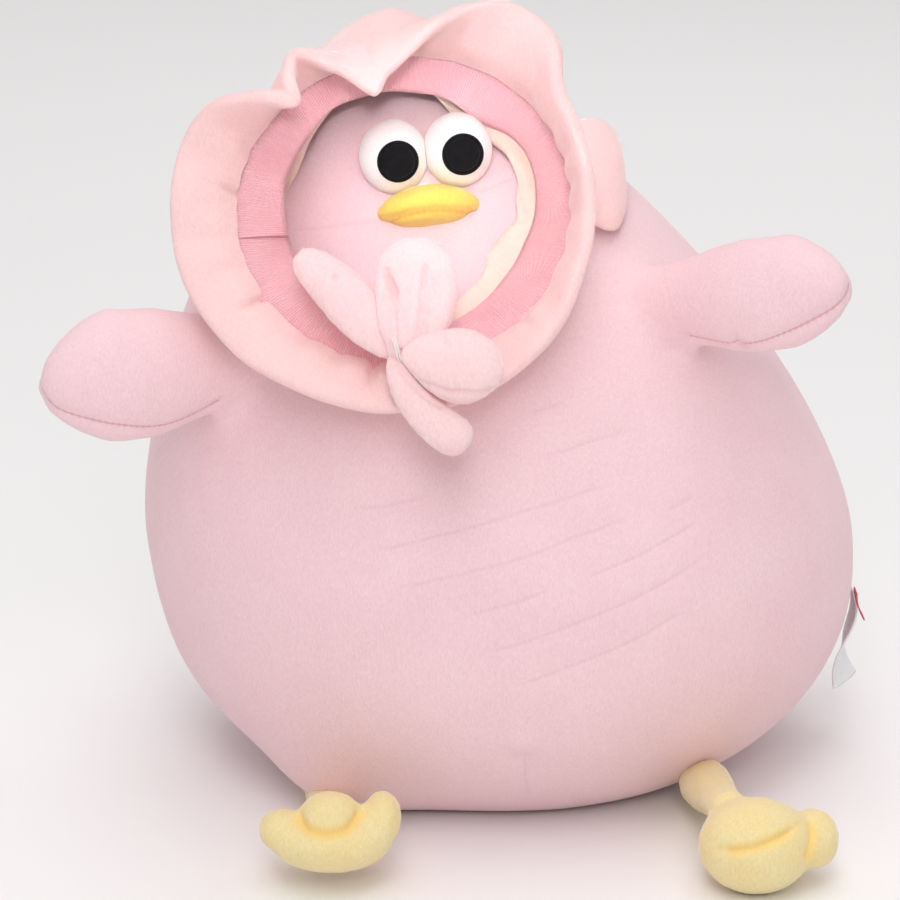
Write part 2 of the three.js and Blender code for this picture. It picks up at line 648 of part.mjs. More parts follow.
function crownHull({ outwards, offset, ahead, below }) {
  const points = [];
  const level = SEAM_STANDOFF - RUFFLE_EDGE / 2 - FIT;
  for (let i = 0; i <= CROWN_SIDES; i += 1) {
    points.push(seamPoint((Math.PI * i) / CROWN_SIDES, outwards, level + ahead));
    if (below > 0) points.push(seamPoint((Math.PI * i) / CROWN_SIDES, outwards, level + ahead).setY(-below));
  }
  const low = CROWN_HEM_HEIGHT - below;
  for (let i = 0; i <= CROWN_RINGS; i += 1) {
    const rise = Math.sin(((Math.PI / 2) * i) / CROWN_RINGS);
    const z = low + (BODY_HEIGHT - low) * rise;
    const off = offset + CROWN_SWELL * rise;
    for (let j = 0; j < CROWN_SIDES; j += 1) {
      const azimuth = (2 * Math.PI * j) / CROWN_SIDES;
      const normal = i < CROWN_RINGS ? bodyNormal(z, azimuth) : new THREE.Vector3(0, 0, 1);
      points.push(bodyPoint(z, azimuth).addScaledVector(normal, off).applyMatrix4(toBonnet));
      if (i === CROWN_RINGS) break;
    }
  }
  return solidOf(new ConvexGeometry(points));
}

const crownOuter = crownHull({ outwards: FIT + CROWN_WALL, offset: FIT + CROWN_WALL, ahead: 0, below: 0 });
const crownInner = crownHull({ outwards: FIT, offset: FIT, ahead: CROWN_WALL, below: 3 * CROWN_WALL });
const bodyInBonnet = bodyCut.transform(toBonnet.elements);
addPiece(bonnet, "bonnet_crown", crownOuter.subtract(crownInner).subtract(bodyInBonnet), bonnetVelour);

// The nape frill is gathered to the crown's hem and lies round the back of the head.
function frillAt(u, v) {
  const azimuth = rad(FRILL_START + (FRILL_END - FRILL_START) * u);
  const z = CROWN_HEM_HEIGHT - FIT - FRILL_THICKNESS - FRILL_HEIGHT * v;
  const gathers = FRILL_WAVE_DEPTH * (1 + Math.sin(2 * Math.PI * FRILL_WAVES * u)) * v;
  const bulge = FRILL_BULGE * Math.sin(Math.PI * v) ** 2;
  const off = FIT + FRILL_THICKNESS / 2 + bulge + gathers;
  return bodyPoint(z, azimuth).addScaledVector(bodyNormal(z, azimuth), off).applyMatrix4(toBonnet);
}

const frill = { columns: FRILL_WAVE_COLUMNS * FRILL_WAVES, rows: FRILL_ROWS, at: frillAt, ring: false };
frill.half = () => FRILL_THICKNESS / 2;
addPiece(bonnet, "bonnet_nape_frill", solidOf(clothStrip(frill)), bonnetVelour);
const nape = bodyPoint(CROWN_HEM_HEIGHT - FRILL_HEIGHT, -FRONT);
const napeGroup = new THREE.Group();
napeGroup.position.copy(nape);
model.add(napeGroup);
joints.bonnet_tilt = { group: napeGroup, axis: new THREE.Vector3(-1, 0, 0) };

// Bow, on an axis straight out of the bonnet's ring

const bow = new THREE.Group();
bow.position.set(BOW_SHIFT, -BOW_DROP, 0);
bonnet.add(bow);
const middleRadius = BOW_MIDDLE_DIAMETER / 2;

// The pinched middle stands on the ruffle; the highest point of the ruffle under it gives its seat.
let seat = 0;
for (let i = 0; i < RUFFLE_COLUMNS * SEAT_SAMPLES; i += 1) {
  for (let j = 0; j <= RUFFLE_ROWS * SEAT_SAMPLES; j += 1) {
    const v = j / (RUFFLE_ROWS * SEAT_SAMPLES);
    const point = ruffleAt(i / (RUFFLE_COLUMNS * SEAT_SAMPLES), v);
    const far = Math.hypot(point.x - BOW_SHIFT, point.y + BOW_DROP) > middleRadius + FIT;
    if (!far) seat = Math.max(seat, point.z + ruffleHalf(v));
  }
}
const middleTop = BOW_LOOP_LEVEL + BOW_LOOP_THICKNESS / 2;

function middleSolid(room) {
  const radius = middleRadius + room;
  const middle = new THREE.CylinderGeometry(radius, radius, middleTop - seat - FIT, BOW_SIDES);
  middle.rotateX(Math.PI / 2);
  middle.translate(0, 0, (middleTop + seat + FIT) / 2);
  return solidOf(middle);
}

// The tie thread runs over the middle's front and down both its sides.
class ThreadPath extends THREE.Curve {
  getPoint(t, target = new THREE.Vector3()) {
    const turn = Math.PI * t;
    const reach = middleRadius + FIT + THREAD_DIAMETER / 2;
    const drop = middleTop - BOW_TAIL_LEVEL + reach - middleRadius;
    const side = reach * Math.sign(Math.cos(turn)) * Math.abs(Math.cos(turn)) ** THREAD_CORNER;
    target.set(0, side, BOW_TAIL_LEVEL + drop * Math.sin(turn) ** THREAD_CORNER);
    return target.applyAxisAngle(corner(0, 0, 1), rad(THREAD_TURN));
  }
}

function threadSolid(room) {
  const strand = new THREE.Shape();
  strand.absarc(0, 0, THREAD_DIAMETER / 2 + room, 0, 2 * Math.PI);
  const cut = { steps: THREAD_STEPS, curveSegments: THREAD_SIDES, extrudePath: new ThreadPath() };
  return solidOf(new THREE.ExtrudeGeometry(strand, cut));
}

addPiece(bow, "bow_middle", middleSolid(0), bowPlush);
addPiece(bow, "bow_thread", threadSolid(0), whitePlush);

// Tails and loops spring from the middle and give way to it and to the thread.
const bowRoom = middleSolid(FIT).add(threadSolid(FIT));
for (const { name, angle, length, width, widest, root, loop } of BOW_LOBES) {
  const depth = loop ? BOW_LOOP_THICKNESS : BOW_TAIL_THICKNESS;
  const start = middleRadius - BOW_TUCK + root / 2;
  const shape = { length: length - start, root: root / 2, width, widest: widest - start, depth };
  const tipPower = loop ? LOOP_TIP_POWER : TAIL_TIP_POWER;
  const lobe = lobeGeometry({ ...shape, tipPower, tipTaper: BOW_TIP_TAPER, offset: 0, sides: BOW_SIDES });
  lobe.rotateX(-Math.PI / 2);
  lobe.translate(start, 0, loop ? BOW_LOOP_LEVEL : BOW_TAIL_LEVEL);
  lobe.rotateZ(rad(angle));
  addPiece(bow, name, solidOf(lobe).subtract(bowRoom), bowPlush);
}
joints.bow_swivel = { group: bow, axis: new THREE.Vector3(0, 0, 1) };

// Care label: a doubled ribbon that hangs from the left side seam, curling and turning towards its end

const label = new THREE.Group();
const labelRoot = bodyPoint(LABEL_HEIGHT_ON_BODY, 0);
label.position.copy(seatOnCover(labelRoot, corner(1, 0, 0), () => LABEL_THICKNESS / 2));
model.add(label);

function labelAt(u, v) {
  const across = (u - 0.5) * LABEL_WIDTH;
  const turn = rad(LABEL_TWIST) * v * v;
  const curl = LABEL_CURL * Math.sin(2 * Math.PI * v);
  return new THREE.Vector3(curl + across * Math.sin(turn), across * Math.cos(turn), -LABEL_LENGTH * v);
}

const ribbon = { columns: LABEL_COLUMNS, rows: LABEL_ROWS, at: labelAt, ring: false };
ribbon.half = () => LABEL_THICKNESS / 2;
addPiece(label, "care_label", solidOf(clothStrip(ribbon)), labelSatin);
joints.label_swing = { group: label, axis: new THREE.Vector3(0, -1, 0) };

// Where each moving piece turns, in the model's frame
model.updateMatrixWorld(true);
for (const [name, { group, axis }] of Object.entries(joints)) {
  const position = group.getWorldPosition(new THREE.Vector3());
  const direction = axis.clone().transformDirection(group.matrixWorld);
  model.userData[name] = { position: position.toArray(), axis: direction.toArray() };
}

export default model;
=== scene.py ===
# A squishy plush chicken in a gathered bonnet, sitting on its seat. Metres, +Z up, the face looks along -Y.
import json
import math

import bmesh
import bpy
import numpy as np
from mathutils import Matrix, Vector, noise
from mathutils.bvhtree import BVHTree


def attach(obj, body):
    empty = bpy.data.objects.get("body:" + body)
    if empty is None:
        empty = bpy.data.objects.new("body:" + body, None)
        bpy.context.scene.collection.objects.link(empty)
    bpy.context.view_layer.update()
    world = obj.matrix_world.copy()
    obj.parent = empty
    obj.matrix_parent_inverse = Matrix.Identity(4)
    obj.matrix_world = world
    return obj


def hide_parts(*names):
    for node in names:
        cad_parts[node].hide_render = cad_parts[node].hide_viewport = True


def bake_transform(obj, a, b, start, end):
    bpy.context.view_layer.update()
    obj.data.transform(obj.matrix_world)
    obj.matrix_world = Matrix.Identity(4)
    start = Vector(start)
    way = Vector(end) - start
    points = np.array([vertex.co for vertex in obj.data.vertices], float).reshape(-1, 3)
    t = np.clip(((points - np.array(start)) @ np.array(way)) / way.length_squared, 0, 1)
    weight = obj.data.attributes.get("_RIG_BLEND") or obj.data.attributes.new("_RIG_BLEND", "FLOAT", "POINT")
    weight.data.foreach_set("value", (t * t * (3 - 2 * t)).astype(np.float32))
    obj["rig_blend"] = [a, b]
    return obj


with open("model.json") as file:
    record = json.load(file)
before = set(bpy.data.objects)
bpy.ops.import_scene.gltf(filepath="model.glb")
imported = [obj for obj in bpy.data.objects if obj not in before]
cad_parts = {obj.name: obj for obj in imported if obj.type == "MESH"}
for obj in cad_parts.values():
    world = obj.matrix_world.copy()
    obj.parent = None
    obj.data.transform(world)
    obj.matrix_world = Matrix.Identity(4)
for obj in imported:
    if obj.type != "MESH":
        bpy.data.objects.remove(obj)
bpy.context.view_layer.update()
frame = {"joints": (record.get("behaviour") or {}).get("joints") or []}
joints = {j["name"]: j for j in frame["joints"]}

# Body and wings
# One skin of pale pink stretch velour round loose fibre: a pear that leans to the toy's right, with two
# almond wings that grow out of the shoulders. The wings are seamed along their lower front edge, and
# the skin is stitched down at the seat and the hips, which pulls it in there.
BODY_HEIGHT, BODY_WIDTH, BODY_DEPTH = 0.335, 0.319, 0.264
BODY_WIDEST, BASE_WIDTH = 0.111, 0.184
SHOULDER_POWER, CROWN_POWER, SEAT_POWER = 1.54, 0.77, 2.6
LEAN, LEAN_START, LEAN_POWER = 0.05, 0.07, 1.5
DEPTH_RATIO = BODY_DEPTH / BODY_WIDTH
FRONT = -math.pi / 2
BODY_RINGS, BODY_STEPS, BODY_VOXEL = 60, 96, 0.0046
RING_CROWDING = 1.3
FLOOR_GAP = 0.0004


def half_width(z):
    z = np.asarray(z, float)
    rise = np.clip((z - BODY_WIDEST) / (BODY_HEIGHT - BODY_WIDEST), 0, 1)
    fall = np.clip((BODY_WIDEST - z) / BODY_WIDEST, 0, 1)
    upper = (1 - rise**SHOULDER_POWER) ** CROWN_POWER
    lower = np.sqrt(1 - (1 - (BASE_WIDTH / BODY_WIDTH) ** 2) * fall**SEAT_POWER)
    return BODY_WIDTH / 2 * np.where(z > BODY_WIDEST, upper, lower)


def lean_at(z):
    rise = np.clip(np.asarray(z, float) - LEAN_START, 0, None) / (BODY_HEIGHT - LEAN_START)
    return -LEAN * rise**LEAN_POWER


def body_point(z, azimuth):
    half = float(half_width(z))
    x = half * math.cos(azimuth) + float(lean_at(z))
    return Vector((x, half * DEPTH_RATIO * math.sin(azimuth), z))


def body_normal(z, azimuth):
    step = 1e-5
    up = body_point(z + step, azimuth) - body_point(z - step, azimuth)
    around = body_point(z, azimuth + step) - body_point(z, azimuth - step)
    return around.cross(up).normalized()


def off_body(co):
    """How far points stand outside the plain pear, level with it."""
    reach = np.hypot(co[:, 0] - lean_at(co[:, 2]), co[:, 1] / DEPTH_RATIO)
    return reach - half_width(co[:, 2])


def turned(outline, steps):
    """A bmesh of an outline of (radius, height) pairs turned about Z, closed at both ends."""
    bm = bmesh.new()
    line = [bm.verts.new((r, 0, z)) for r, z in outline]
    edges = [bm.edges.new(pair) for pair in zip(line, line[1:])]
    axis = {"axis": (0, 0, 1), "cent": (0, 0, 0)}
    bmesh.ops.spin(bm, geom=line + edges, steps=steps, angle=2 * math.pi, use_merge=True, **axis)
    bmesh.ops.remove_doubles(bm, verts=bm.verts, dist=1e-6)
    bmesh.ops.recalc_face_normals(bm, faces=bm.faces)
    return bm


def placed(name, data):
    """A new object in the scene."""
    obj = bpy.data.objects.new(name, data)
    bpy.context.scene.collection.objects.link(obj)
    return obj


def made(name, *forms):
    """An object from one or more bmeshes, which are freed."""
    whole = bmesh.new()
    for form in forms:
        part = bpy.data.meshes.new(name)
        form.to_mesh(part)
        form.free()
        whole.from_mesh(part)
        bpy.data.meshes.remove(part)
    mesh = bpy.data.meshes.new(name)
    whole.to_mesh(mesh)
    whole.free()
    mesh.shade_smooth()
    return placed(name, mesh)


def apply_all(obj):
    graph = bpy.context.evaluated_depsgraph_get()
    mesh = bpy.data.meshes.new_from_object(obj.evaluated_get(graph), depsgraph=graph)
    obj.modifiers.clear()
    old, obj.data = obj.data, mesh
    bpy.data.meshes.remove(old)
    obj.data.name = obj.name
    obj.data.shade_smooth()


def points(obj):
    co = np.empty(len(obj.data.vertices) * 3, np.float32)
    obj.data.vertices.foreach_get("co", co)
    return co.reshape(-1, 3).astype(float)


def normals(obj):
    found = np.empty(len(obj.data.vertices) * 3, np.float32)
    obj.data.vertex_normals.foreach_get("vector", found)
    return found.reshape(-1, 3).astype(float)


def move_to(obj, co):
    obj.data.vertices.foreach_set("co", np.asarray(co, np.float32).ravel())
    obj.data.update()


def skin_over(obj, voxel):
    """Draws one even skin over overlapping forms."""
    remesh = obj.modifiers.new("skin", "REMESH")
    remesh.mode = "VOXEL"
    remesh.voxel_size = voxel
    apply_all(obj)


def relax(bm, verts):
    bmesh.ops.smooth_vert(bm, verts=verts, factor=0.5, use_axis_x=True, use_axis_y=True, use_axis_z=True)


def ease(obj, rounds, where=None):
    """Smooths the skin, all over or where a mask says."""
    bm = bmesh.new()
    bm.from_mesh(obj.data)
    chosen = [v for v in bm.verts if where is None or where[v.index]]
    for _ in range(rounds):
        relax(bm, chosen)
    bm.to_mesh(obj.data)
    bm.free()
    obj.data.update()


def stuff(obj, pressure, cap, held=None, frames=16):
    """Blows the skin up like stuffing, with the held points sewn down. No point moves further than cap."""
    scene = bpy.context.scene
    start = points(obj)
    cloth = obj.modifiers.new("stuffing", "CLOTH")
    cloth.settings.quality = 4
    cloth.settings.mass = 0.3
    cloth.settings.air_damping = 3
    cloth.settings.use_pressure = True
    cloth.settings.uniform_pressure_force = pressure
    cloth.settings.effector_weights.gravity = 0
    cloth.collision_settings.use_collision = False
    if held is not None:
        group = obj.vertex_groups.new(name="sewn")
        group.add([int(i) for i in np.nonzero(held)[0]], 1.0, "REPLACE")
        cloth.settings.vertex_group_mass = "sewn"
    for number in range(1, frames + 1):
        scene.frame_set(number)
    graph = bpy.context.evaluated_depsgraph_get()
    end = np.empty(start.size, np.float32)
    obj.evaluated_get(graph).data.vertices.foreach_get("co", end)
    obj.modifiers.clear()
    obj.vertex_groups.clear()
    scene.frame_set(1)
    move = end.reshape(-1, 3) - start
    far = np.linalg.norm(move, axis=1, keepdims=True)
    move_to(obj, start + move * np.minimum(1, cap / np.maximum(far, 1e-9)))


def refine(obj):
    finer = obj.modifiers.new("finer", "SUBSURF")
    finer.levels = finer.render_levels = 1
    apply_all(obj)


def note(obj, name, values):
    """Keeps a value at each point for the material to read."""
    found = obj.data.attributes.get(name) or obj.data.attributes.new(name, "FLOAT", "POINT")
    found.data.foreach_set("value", np.asarray(values, np.float32))


def linear(r, g, b):
    shade = lambda c: c / 12.92 if c <= 0.04045 else ((c + 0.055) / 1.055) ** 2.4
    return (*[shade(c / 255) for c in (r, g, b)], 1)


def node_of(tree, kind, inputs=(), **settings):
    node = tree.nodes.new(kind)
    for key, value in settings.items():
        setattr(node, key, value)
    for key, value in dict(inputs).items():
        if isinstance(value, bpy.types.NodeSocket):
            tree.links.new(value, node.inputs[key])
        else:
            node.inputs[key].default_value = value
    return node


NAP_STRETCH, FIBRES_IN_TUFT, STITCH_LENGTH = (1, 1, 0.35), 5, 0.0026


def pile_cloth(
    name, colour, deep, pile=0.0006, sheen=0.5, grain=1500, mottle=30,
    seam=None, seam_depth=0.75, folds=None, fold_reach=0.0011, fold_shade_strength=0.2,
):
    """Brushed cloth: a short pile with its own grain, soft mottling from stroking, and painted shade along a
    seam line.
    seam and folds are painted shade colours for the bottom of a stitched line and of a packing fold, where the
    piece keeps its distances from them."""
    material = bpy.data.materials.new(name)
    material.use_nodes = True
    tree = material.node_tree
    shader = tree.nodes["Principled BSDF"]

    def put(kind, inputs=(), **settings):
        return node_of(tree, f"ShaderNode{kind}", inputs, **settings).outputs

    def speckle(vector, scale, detail, roughness):
        named = {"Vector": vector, "Scale": scale, "Detail": detail, "Roughness": roughness}
        return put("TexNoise", named)[0]

    def spread(value, low, high, start, end):
        return put("MapRange", {"Value": value, 1: low, 2: high, 3: start, 4: end})[0]

    def maths(operation, a, b=0.0):
        return put("Math", {0: a, 1: b}, operation=operation)[0]

    def mixed(share, a, b):
        return put("Mix", {0: share, 6: a, 7: b}, data_type="RGBA")[2]

    def kept(attribute):
        return put("Attribute", attribute_name=attribute)["Fac"]

    place = put("TexCoord")["Object"]
    nap = put("Mapping", {"Vector": place, "Scale": NAP_STRETCH})[0]
    fibres = speckle(nap, grain, 3, 0.6)
    tufts = speckle(place, grain / FIBRES_IN_TUFT, 2, 0.5)
    base = mixed(spread(speckle(place, mottle, 3, 0.55), 0.3, 0.7, 0.0, 0.55), colour, deep)
    shades = spread(fibres, 0.3, 0.7, 0.93, 1.05)
    tone = put("VectorMath", {0: base, 1: shades}, operation="MULTIPLY")[0]
    height = maths("ADD", tufts, fibres)
    if seam:
        # Painted shade along the seam line, which widens at each stitch
        beat = maths("SINE", maths("MULTIPLY", kept("seam_run"), 2 * math.pi / STITCH_LENGTH))
        width = spread(beat, -0.6, 0.8, 0.0005, 0.0009)
        apart = maths("ABSOLUTE", kept("seam_distance"))
        line = spread(maths("DIVIDE", apart, width), 0.3, 1.3, seam_depth, 0.0)
        tone = mixed(line, tone, seam)
        height = maths("SUBTRACT", height, line)
    if folds:
        # Painted shade in the bottom of the packing folds, strongest where a fold is deepest
        apart = maths("ABSOLUTE", kept("fold_distance"))
        crease_shade = maths("MULTIPLY", spread(apart, 0.0001, fold_reach, 1.0, 0.0), kept("fold_depth"))
        tone = mixed(maths("MULTIPLY", crease_shade, fold_shade_strength), tone, folds)
        height = maths("SUBTRACT", height, crease_shade)
    bump = put("Bump", {"Height": height, "Distance": pile, "Strength": 0.32})[0]
    tree.links.new(tone, shader.inputs["Base Color"])
    tree.links.new(bump, shader.inputs["Normal"])
    shader.inputs["Roughness"].default_value = 0.92
    shader.inputs["Specular IOR Level"].default_value = 0.15
    shader.inputs["Sheen Weight"].default_value = sheen
    shader.inputs["Sheen Roughness"].default_value = 0.45
    shader.inputs["Sheen Tint"].default_value = (1, 0.95, 0.95, 1)
    return material


def dress(obj, material, *nodes):
    """Gives a piece its cloth and hides the solids that it stands for. The solids' materials have the same
    names, so Blender has put a number after the cloth's."""
    obj.data.materials.append(material)
    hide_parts(*nodes)


# The seam and fold colours are painted shade for the seam grooves and the packing folds
velour = pile_cloth(
    "body_velour", linear(247, 214, 219), linear(243, 205, 212), sheen=0.25,
    seam=linear(214, 150, 160), seam_depth=0.65, folds=linear(212, 166, 177), fold_shade_strength=0.15,
)

WING_FORWARD, WING_LIFT, WING_TILT = math.radians(22), math.radians(3), math.radians(7)
WING_FLATNESS = 0.74
WING_OUTLINE = [
    (0, -0.034), (0.010, -0.033), (0.0145, -0.026), (0.017, -0.012), (0.0195, 0.0), (0.0232, 0.013),
    (0.0262, 0.026), (0.0268, 0.036), (0.0252, 0.046), (0.0215, 0.055), (0.0165, 0.063), (0.0105, 0.0695),
    (0.0062, 0.0725), (0.0028, 0.0738), (0, 0.0742),
]
WING_SEAM_TILT = math.radians(56)
WING_GROWTH = {"left": (1, 1, 1), "right": (1.04, 1.06, 1.13)}
WING_STEPS = 40
# A point this far off the pear belongs to a wing, and the root's fillet is eased this far out
WING_OFF_BODY, ROOT_REACH, ROOT_EDGE = 0.006, 0.052, 0.002
UPPER_EASE, LOWER_EASE = 26, 5
# How near to a stitched line the skin is held while it is stuffed
SEAT_HELD, HIP_HELD, SEAM_HELD, SEAM_FROM = 0.004, 0.017, 0.003, 0.004

body_outline = [(0, 0), (BASE_WIDTH / 4, 0)]
for i in range(BODY_RINGS):
    z = BODY_WIDEST * (i / BODY_RINGS) ** RING_CROWDING
    body_outline.append((float(half_width(z)), z))
for i in range(BODY_RINGS):
    z = BODY_WIDEST + (BODY_HEIGHT - BODY_WIDEST) * math.sin(math.pi / 2 * i / BODY_RINGS)
    body_outline.append((float(half_width(z)), z))
body_outline.append((0, BODY_HEIGHT))
pear = turned(body_outline, BODY_STEPS)
for vert in pear.verts:
    vert.co.x += float(lean_at(vert.co.z))
    vert.co.y *= DEPTH_RATIO

wings = {}
wing_forms = []
for side, sign in (("left", 1), ("right", -1)):
    root = Vector(joints[f"{side}_wing_flap"]["pos_m"])
    lift = WING_LIFT + sign * WING_TILT
    level = Vector((sign * math.cos(WING_FORWARD), -math.sin(WING_FORWARD), 0)) * math.cos(lift)
    out = level + Vector((0, 0, math.sin(lift)))
    up = (Vector((0, 0, 1)) - out * out.z).normalized()
    back = sign * up.cross(out)
    wings[side] = Matrix.Translation(root) @ Matrix((out, back, up)).transposed().to_4x4()
    almond = turned(WING_OUTLINE, WING_STEPS)
    bmesh.ops.scale(almond, vec=(1, WING_FLATNESS, 1), verts=almond.verts)
    almond.transform(Matrix.Rotation(math.pi / 2, 4, "Y"))
    bmesh.ops.scale(almond, vec=WING_GROWTH[side], verts=almond.verts)
    almond.transform(wings[side])
    if sign < 0:
        bmesh.ops.recalc_face_normals(almond, faces=almond.faces)
    wing_forms.append(almond)

skin = made("body_skin", pear, *wing_forms)
skin_over(skin, BODY_VOXEL)
ease(skin, 3)


def in_frame(co, matrix):
    """Points in a piece's own frame."""
    turn = np.array(matrix.inverted())
    return co @ turn[:3, :3].T + turn[:3, 3]


co = points(skin)
for matrix in wings.values():
    local = in_frame(co, matrix)
    near = np.linalg.norm(local, axis=1) < ROOT_REACH
    ease(skin, UPPER_EASE, near & (local[:, 2] > ROOT_EDGE))
    ease(skin, LOWER_EASE, near & (local[:, 2] <= ROOT_EDGE))
co = points(skin)
sewn = co[:, 2] < SEAT_HELD
for joint in ("left_leg_swing", "right_leg_swing"):
    sewn |= np.linalg.norm(co - np.array(joints[joint]["pos_m"]), axis=1) < HIP_HELD
for matrix in wings.values():
    local = in_frame(co, matrix)
    edge = np.abs(local[:, 2] * math.cos(WING_SEAM_TILT) - local[:, 1] * math.sin(WING_SEAM_TILT))
    sewn |= (edge < SEAM_HELD) & (local[:, 0] > SEAM_FROM) & (off_body(co) > WING_OFF_BODY)
stuff(skin, pressure=3, cap=0.003, held=sewn)
refine(skin)

# Packing folds across the belly and a drag line by the beak, as (x, z) on the front in millimetres
FOLDS = [
    [(-66, 155), (-53, 157), (-32, 163)],
    [(-59, 139), (-48, 141), (-33, 146), (-15, 151), (-1, 155), (11, 158), (32, 163), (40, 165)],
    [(-50, 124), (-33, 128), (-15, 133), (1, 137), (11, 140), (24, 145), (37, 148), (50, 152)],
    [(64, 152), (76, 155)],
    [(-18, 114), (-5, 118), (8, 122), (16, 125)],
    [(31, 129), (50, 135), (66, 141), (78, 146)],
    [(-15, 97), (1, 101), (21, 108), (32, 112), (47, 117), (57, 121), (71, 127), (85, 134)],
    [(-2, 81), (11, 86), (24, 91), (41, 97), (54, 102), (66, 108), (76, 111)],
    [(11, 177), (22, 179), (34, 182), (52, 185)],
    [(8, 194), (22, 197)],
    [(6, 48), (7, 36), (9, 20)],
    [(-93, 257), (-75, 261), (-54, 265)],
    [(-13, 275), (-4, 278), (7, 281)],
]
# FOLD_TRACE is how far the painted shade reaches from each fold
FOLD_WIDTH, FOLD_DEPTH, FOLD_TRACE = 0.0028, 0.0004, 0.005
# A pucker low on the belly, with a dimple under it
PUCKER, PUCKER_RISE, PUCKER_WIDTH = (0.005, 0.0535), 0.0016, 0.0055
DIMPLE_ASIDE, DIMPLE_DROP, DIMPLE_DEPTH, DIMPLE_WIDTH = 0.001, 0.0065, 0.0018, 0.0026
SAG_PLACE, SAG_DEPTH, SAG_RADIUS = (-0.080, -0.092, 0.012), 0.0145, 0.034
SIDE_SEAM_SHIFT, SIDE_SEAM_DEPTH, SIDE_SEAM_WIDTH, SIDEWAYS = 0.004, 0.0011, 0.0022, 0.5
WING_BOX, WING_LENGTH = (-0.02, 0.04, 0.05), 0.072
WING_SEAM_SWING, WING_SEAM_DEPTH, WING_SEAM_WIDTH, WING_SEAM_FROM = 0.003, 0.0016, 0.0024, 0.002
TUCK_PLACE, TUCK_WIDTH, TUCK_LENGTH, TUCK_DEPTH = 0.024, 0.002, 0.008, 0.0022


def bell(away, width):
    """A soft bump: 1 in its middle and falling off over a width."""
    return np.exp(-((away / width) ** 2))


def from_line(flat, line):
    """Signed distance of flat points from a line through a few points, and how far along it they are."""
    best = np.full(len(flat), 1e3)
    where = np.zeros(len(flat))
    pairs = list(zip(line, line[1:]))
    for i, (a, b) in enumerate(pairs):
        a, b = np.array(a), np.array(b)
        run = b - a
        share = ((flat - a) @ run) / (run @ run)
        gap = flat - (a + np.clip(share, 0, 1)[:, None] * run)
        side = np.sign(run[0] * (flat[:, 1] - a[1]) - run[1] * (flat[:, 0] - a[0]))
        apart = np.linalg.norm(gap, axis=1)
        nearer = apart < np.abs(best)
        best = np.where(nearer, apart * np.where(side == 0, 1, side), best)
        where = np.where(nearer, (i + np.clip(share, 0, 1)) / len(pairs), where)
    return best, where


co = points(skin)
out = normals(skin)
push = np.zeros(len(co))
facing = np.clip(-out[:, 1] * 3, 0, 1)
# Besides pressing the folds in, these values place the velour's painted shade along them
fold_distance = np.full(len(co), 1.0)
fold_depth = np.zeros(len(co))
for line in FOLDS:
    apart, where = from_line(co[:, [0, 2]], np.array(line) / 1000)
    taper = np.clip(np.sin(math.pi * where) * 2.5, 0, 1) * facing
    push -= FOLD_DEPTH * bell(apart, FOLD_WIDTH) * taper
    nearer = np.abs(apart) < np.abs(fold_distance)
    fold_distance = np.where(nearer, apart, fold_distance)
    fold_depth = np.where(nearer, taper * bell(apart, FOLD_TRACE), fold_depth)
apart = np.hypot(co[:, 0] - PUCKER[0], co[:, 2] - PUCKER[1])
push += PUCKER_RISE * bell(apart, PUCKER_WIDTH) * facing
apart = np.hypot(co[:, 0] - PUCKER[0] - DIMPLE_ASIDE, co[:, 2] - PUCKER[1] + DIMPLE_DROP)
push -= DIMPLE_DEPTH * bell(apart, DIMPLE_WIDTH) * facing
# The seat's edge sags out over the right foot
apart = np.linalg.norm(co - SAG_PLACE, axis=1)
push += SAG_DEPTH * bell(apart, SAG_RADIUS)
# Side seams from the seat to the crown
off = off_body(co)
sideways = np.abs(out[:, 1]) < SIDEWAYS
seam = co[:, 1] + SIDE_SEAM_SHIFT * (off > WING_OFF_BODY)
push -= SIDE_SEAM_DEPTH * bell(seam, SIDE_SEAM_WIDTH) * sideways
# seam_distance places the velour's painted shade along the side and wing seams
seam_distance = np.where(sideways, seam, 1.0)
seam_run = co[:, 2].copy()
wing_part = np.zeros(len(co), int)
for number, matrix in enumerate(wings.values(), 1):
    local = in_frame(co, matrix)
    x, y, z = local.T
    mine = (off > WING_OFF_BODY) & (x > WING_BOX[0]) & (np.abs(y) < WING_BOX[1]) & (np.abs(z) < WING_BOX[2])
    wing_part[mine] = number
    swing = WING_SEAM_SWING * np.sin(np.clip(x, 0, WING_LENGTH) / WING_LENGTH * math.pi * 2)
    edge = z * math.cos(WING_SEAM_TILT) - y * math.sin(WING_SEAM_TILT) + swing
    seamed = mine & (x > WING_SEAM_FROM)
    push -= np.where(seamed, WING_SEAM_DEPTH * bell(edge, WING_SEAM_WIDTH), 0)
    seam_distance = np.where(mine, np.where(x > WING_SEAM_FROM, edge, 1.0), seam_distance)
    seam_run = np.where(mine, x, seam_run)
    if number == 1:
        # A short tuck across the left wing's seam
        tuck = bell(x - TUCK_PLACE, TUCK_WIDTH) * bell(edge, TUCK_LENGTH)
        push -= np.where(mine & (y < 0), TUCK_DEPTH * tuck, 0)
co = co + out * push[:, None]
co[:, 2] = np.maximum(co[:, 2], FLOOR_GAP)
move_to(skin, co)
for name, values in (
    ("seam_distance", seam_distance), ("seam_run", seam_run), ("fold_distance", fold_distance),
    ("fold_depth", fold_depth), ("part", wing_part),
):
    note(skin, name, values)
kept = skin.data.attributes.new("kept_normal", "FLOAT_VECTOR", "POINT")
kept.data.foreach_set("vector", normals(skin).astype(np.float32).ravel())


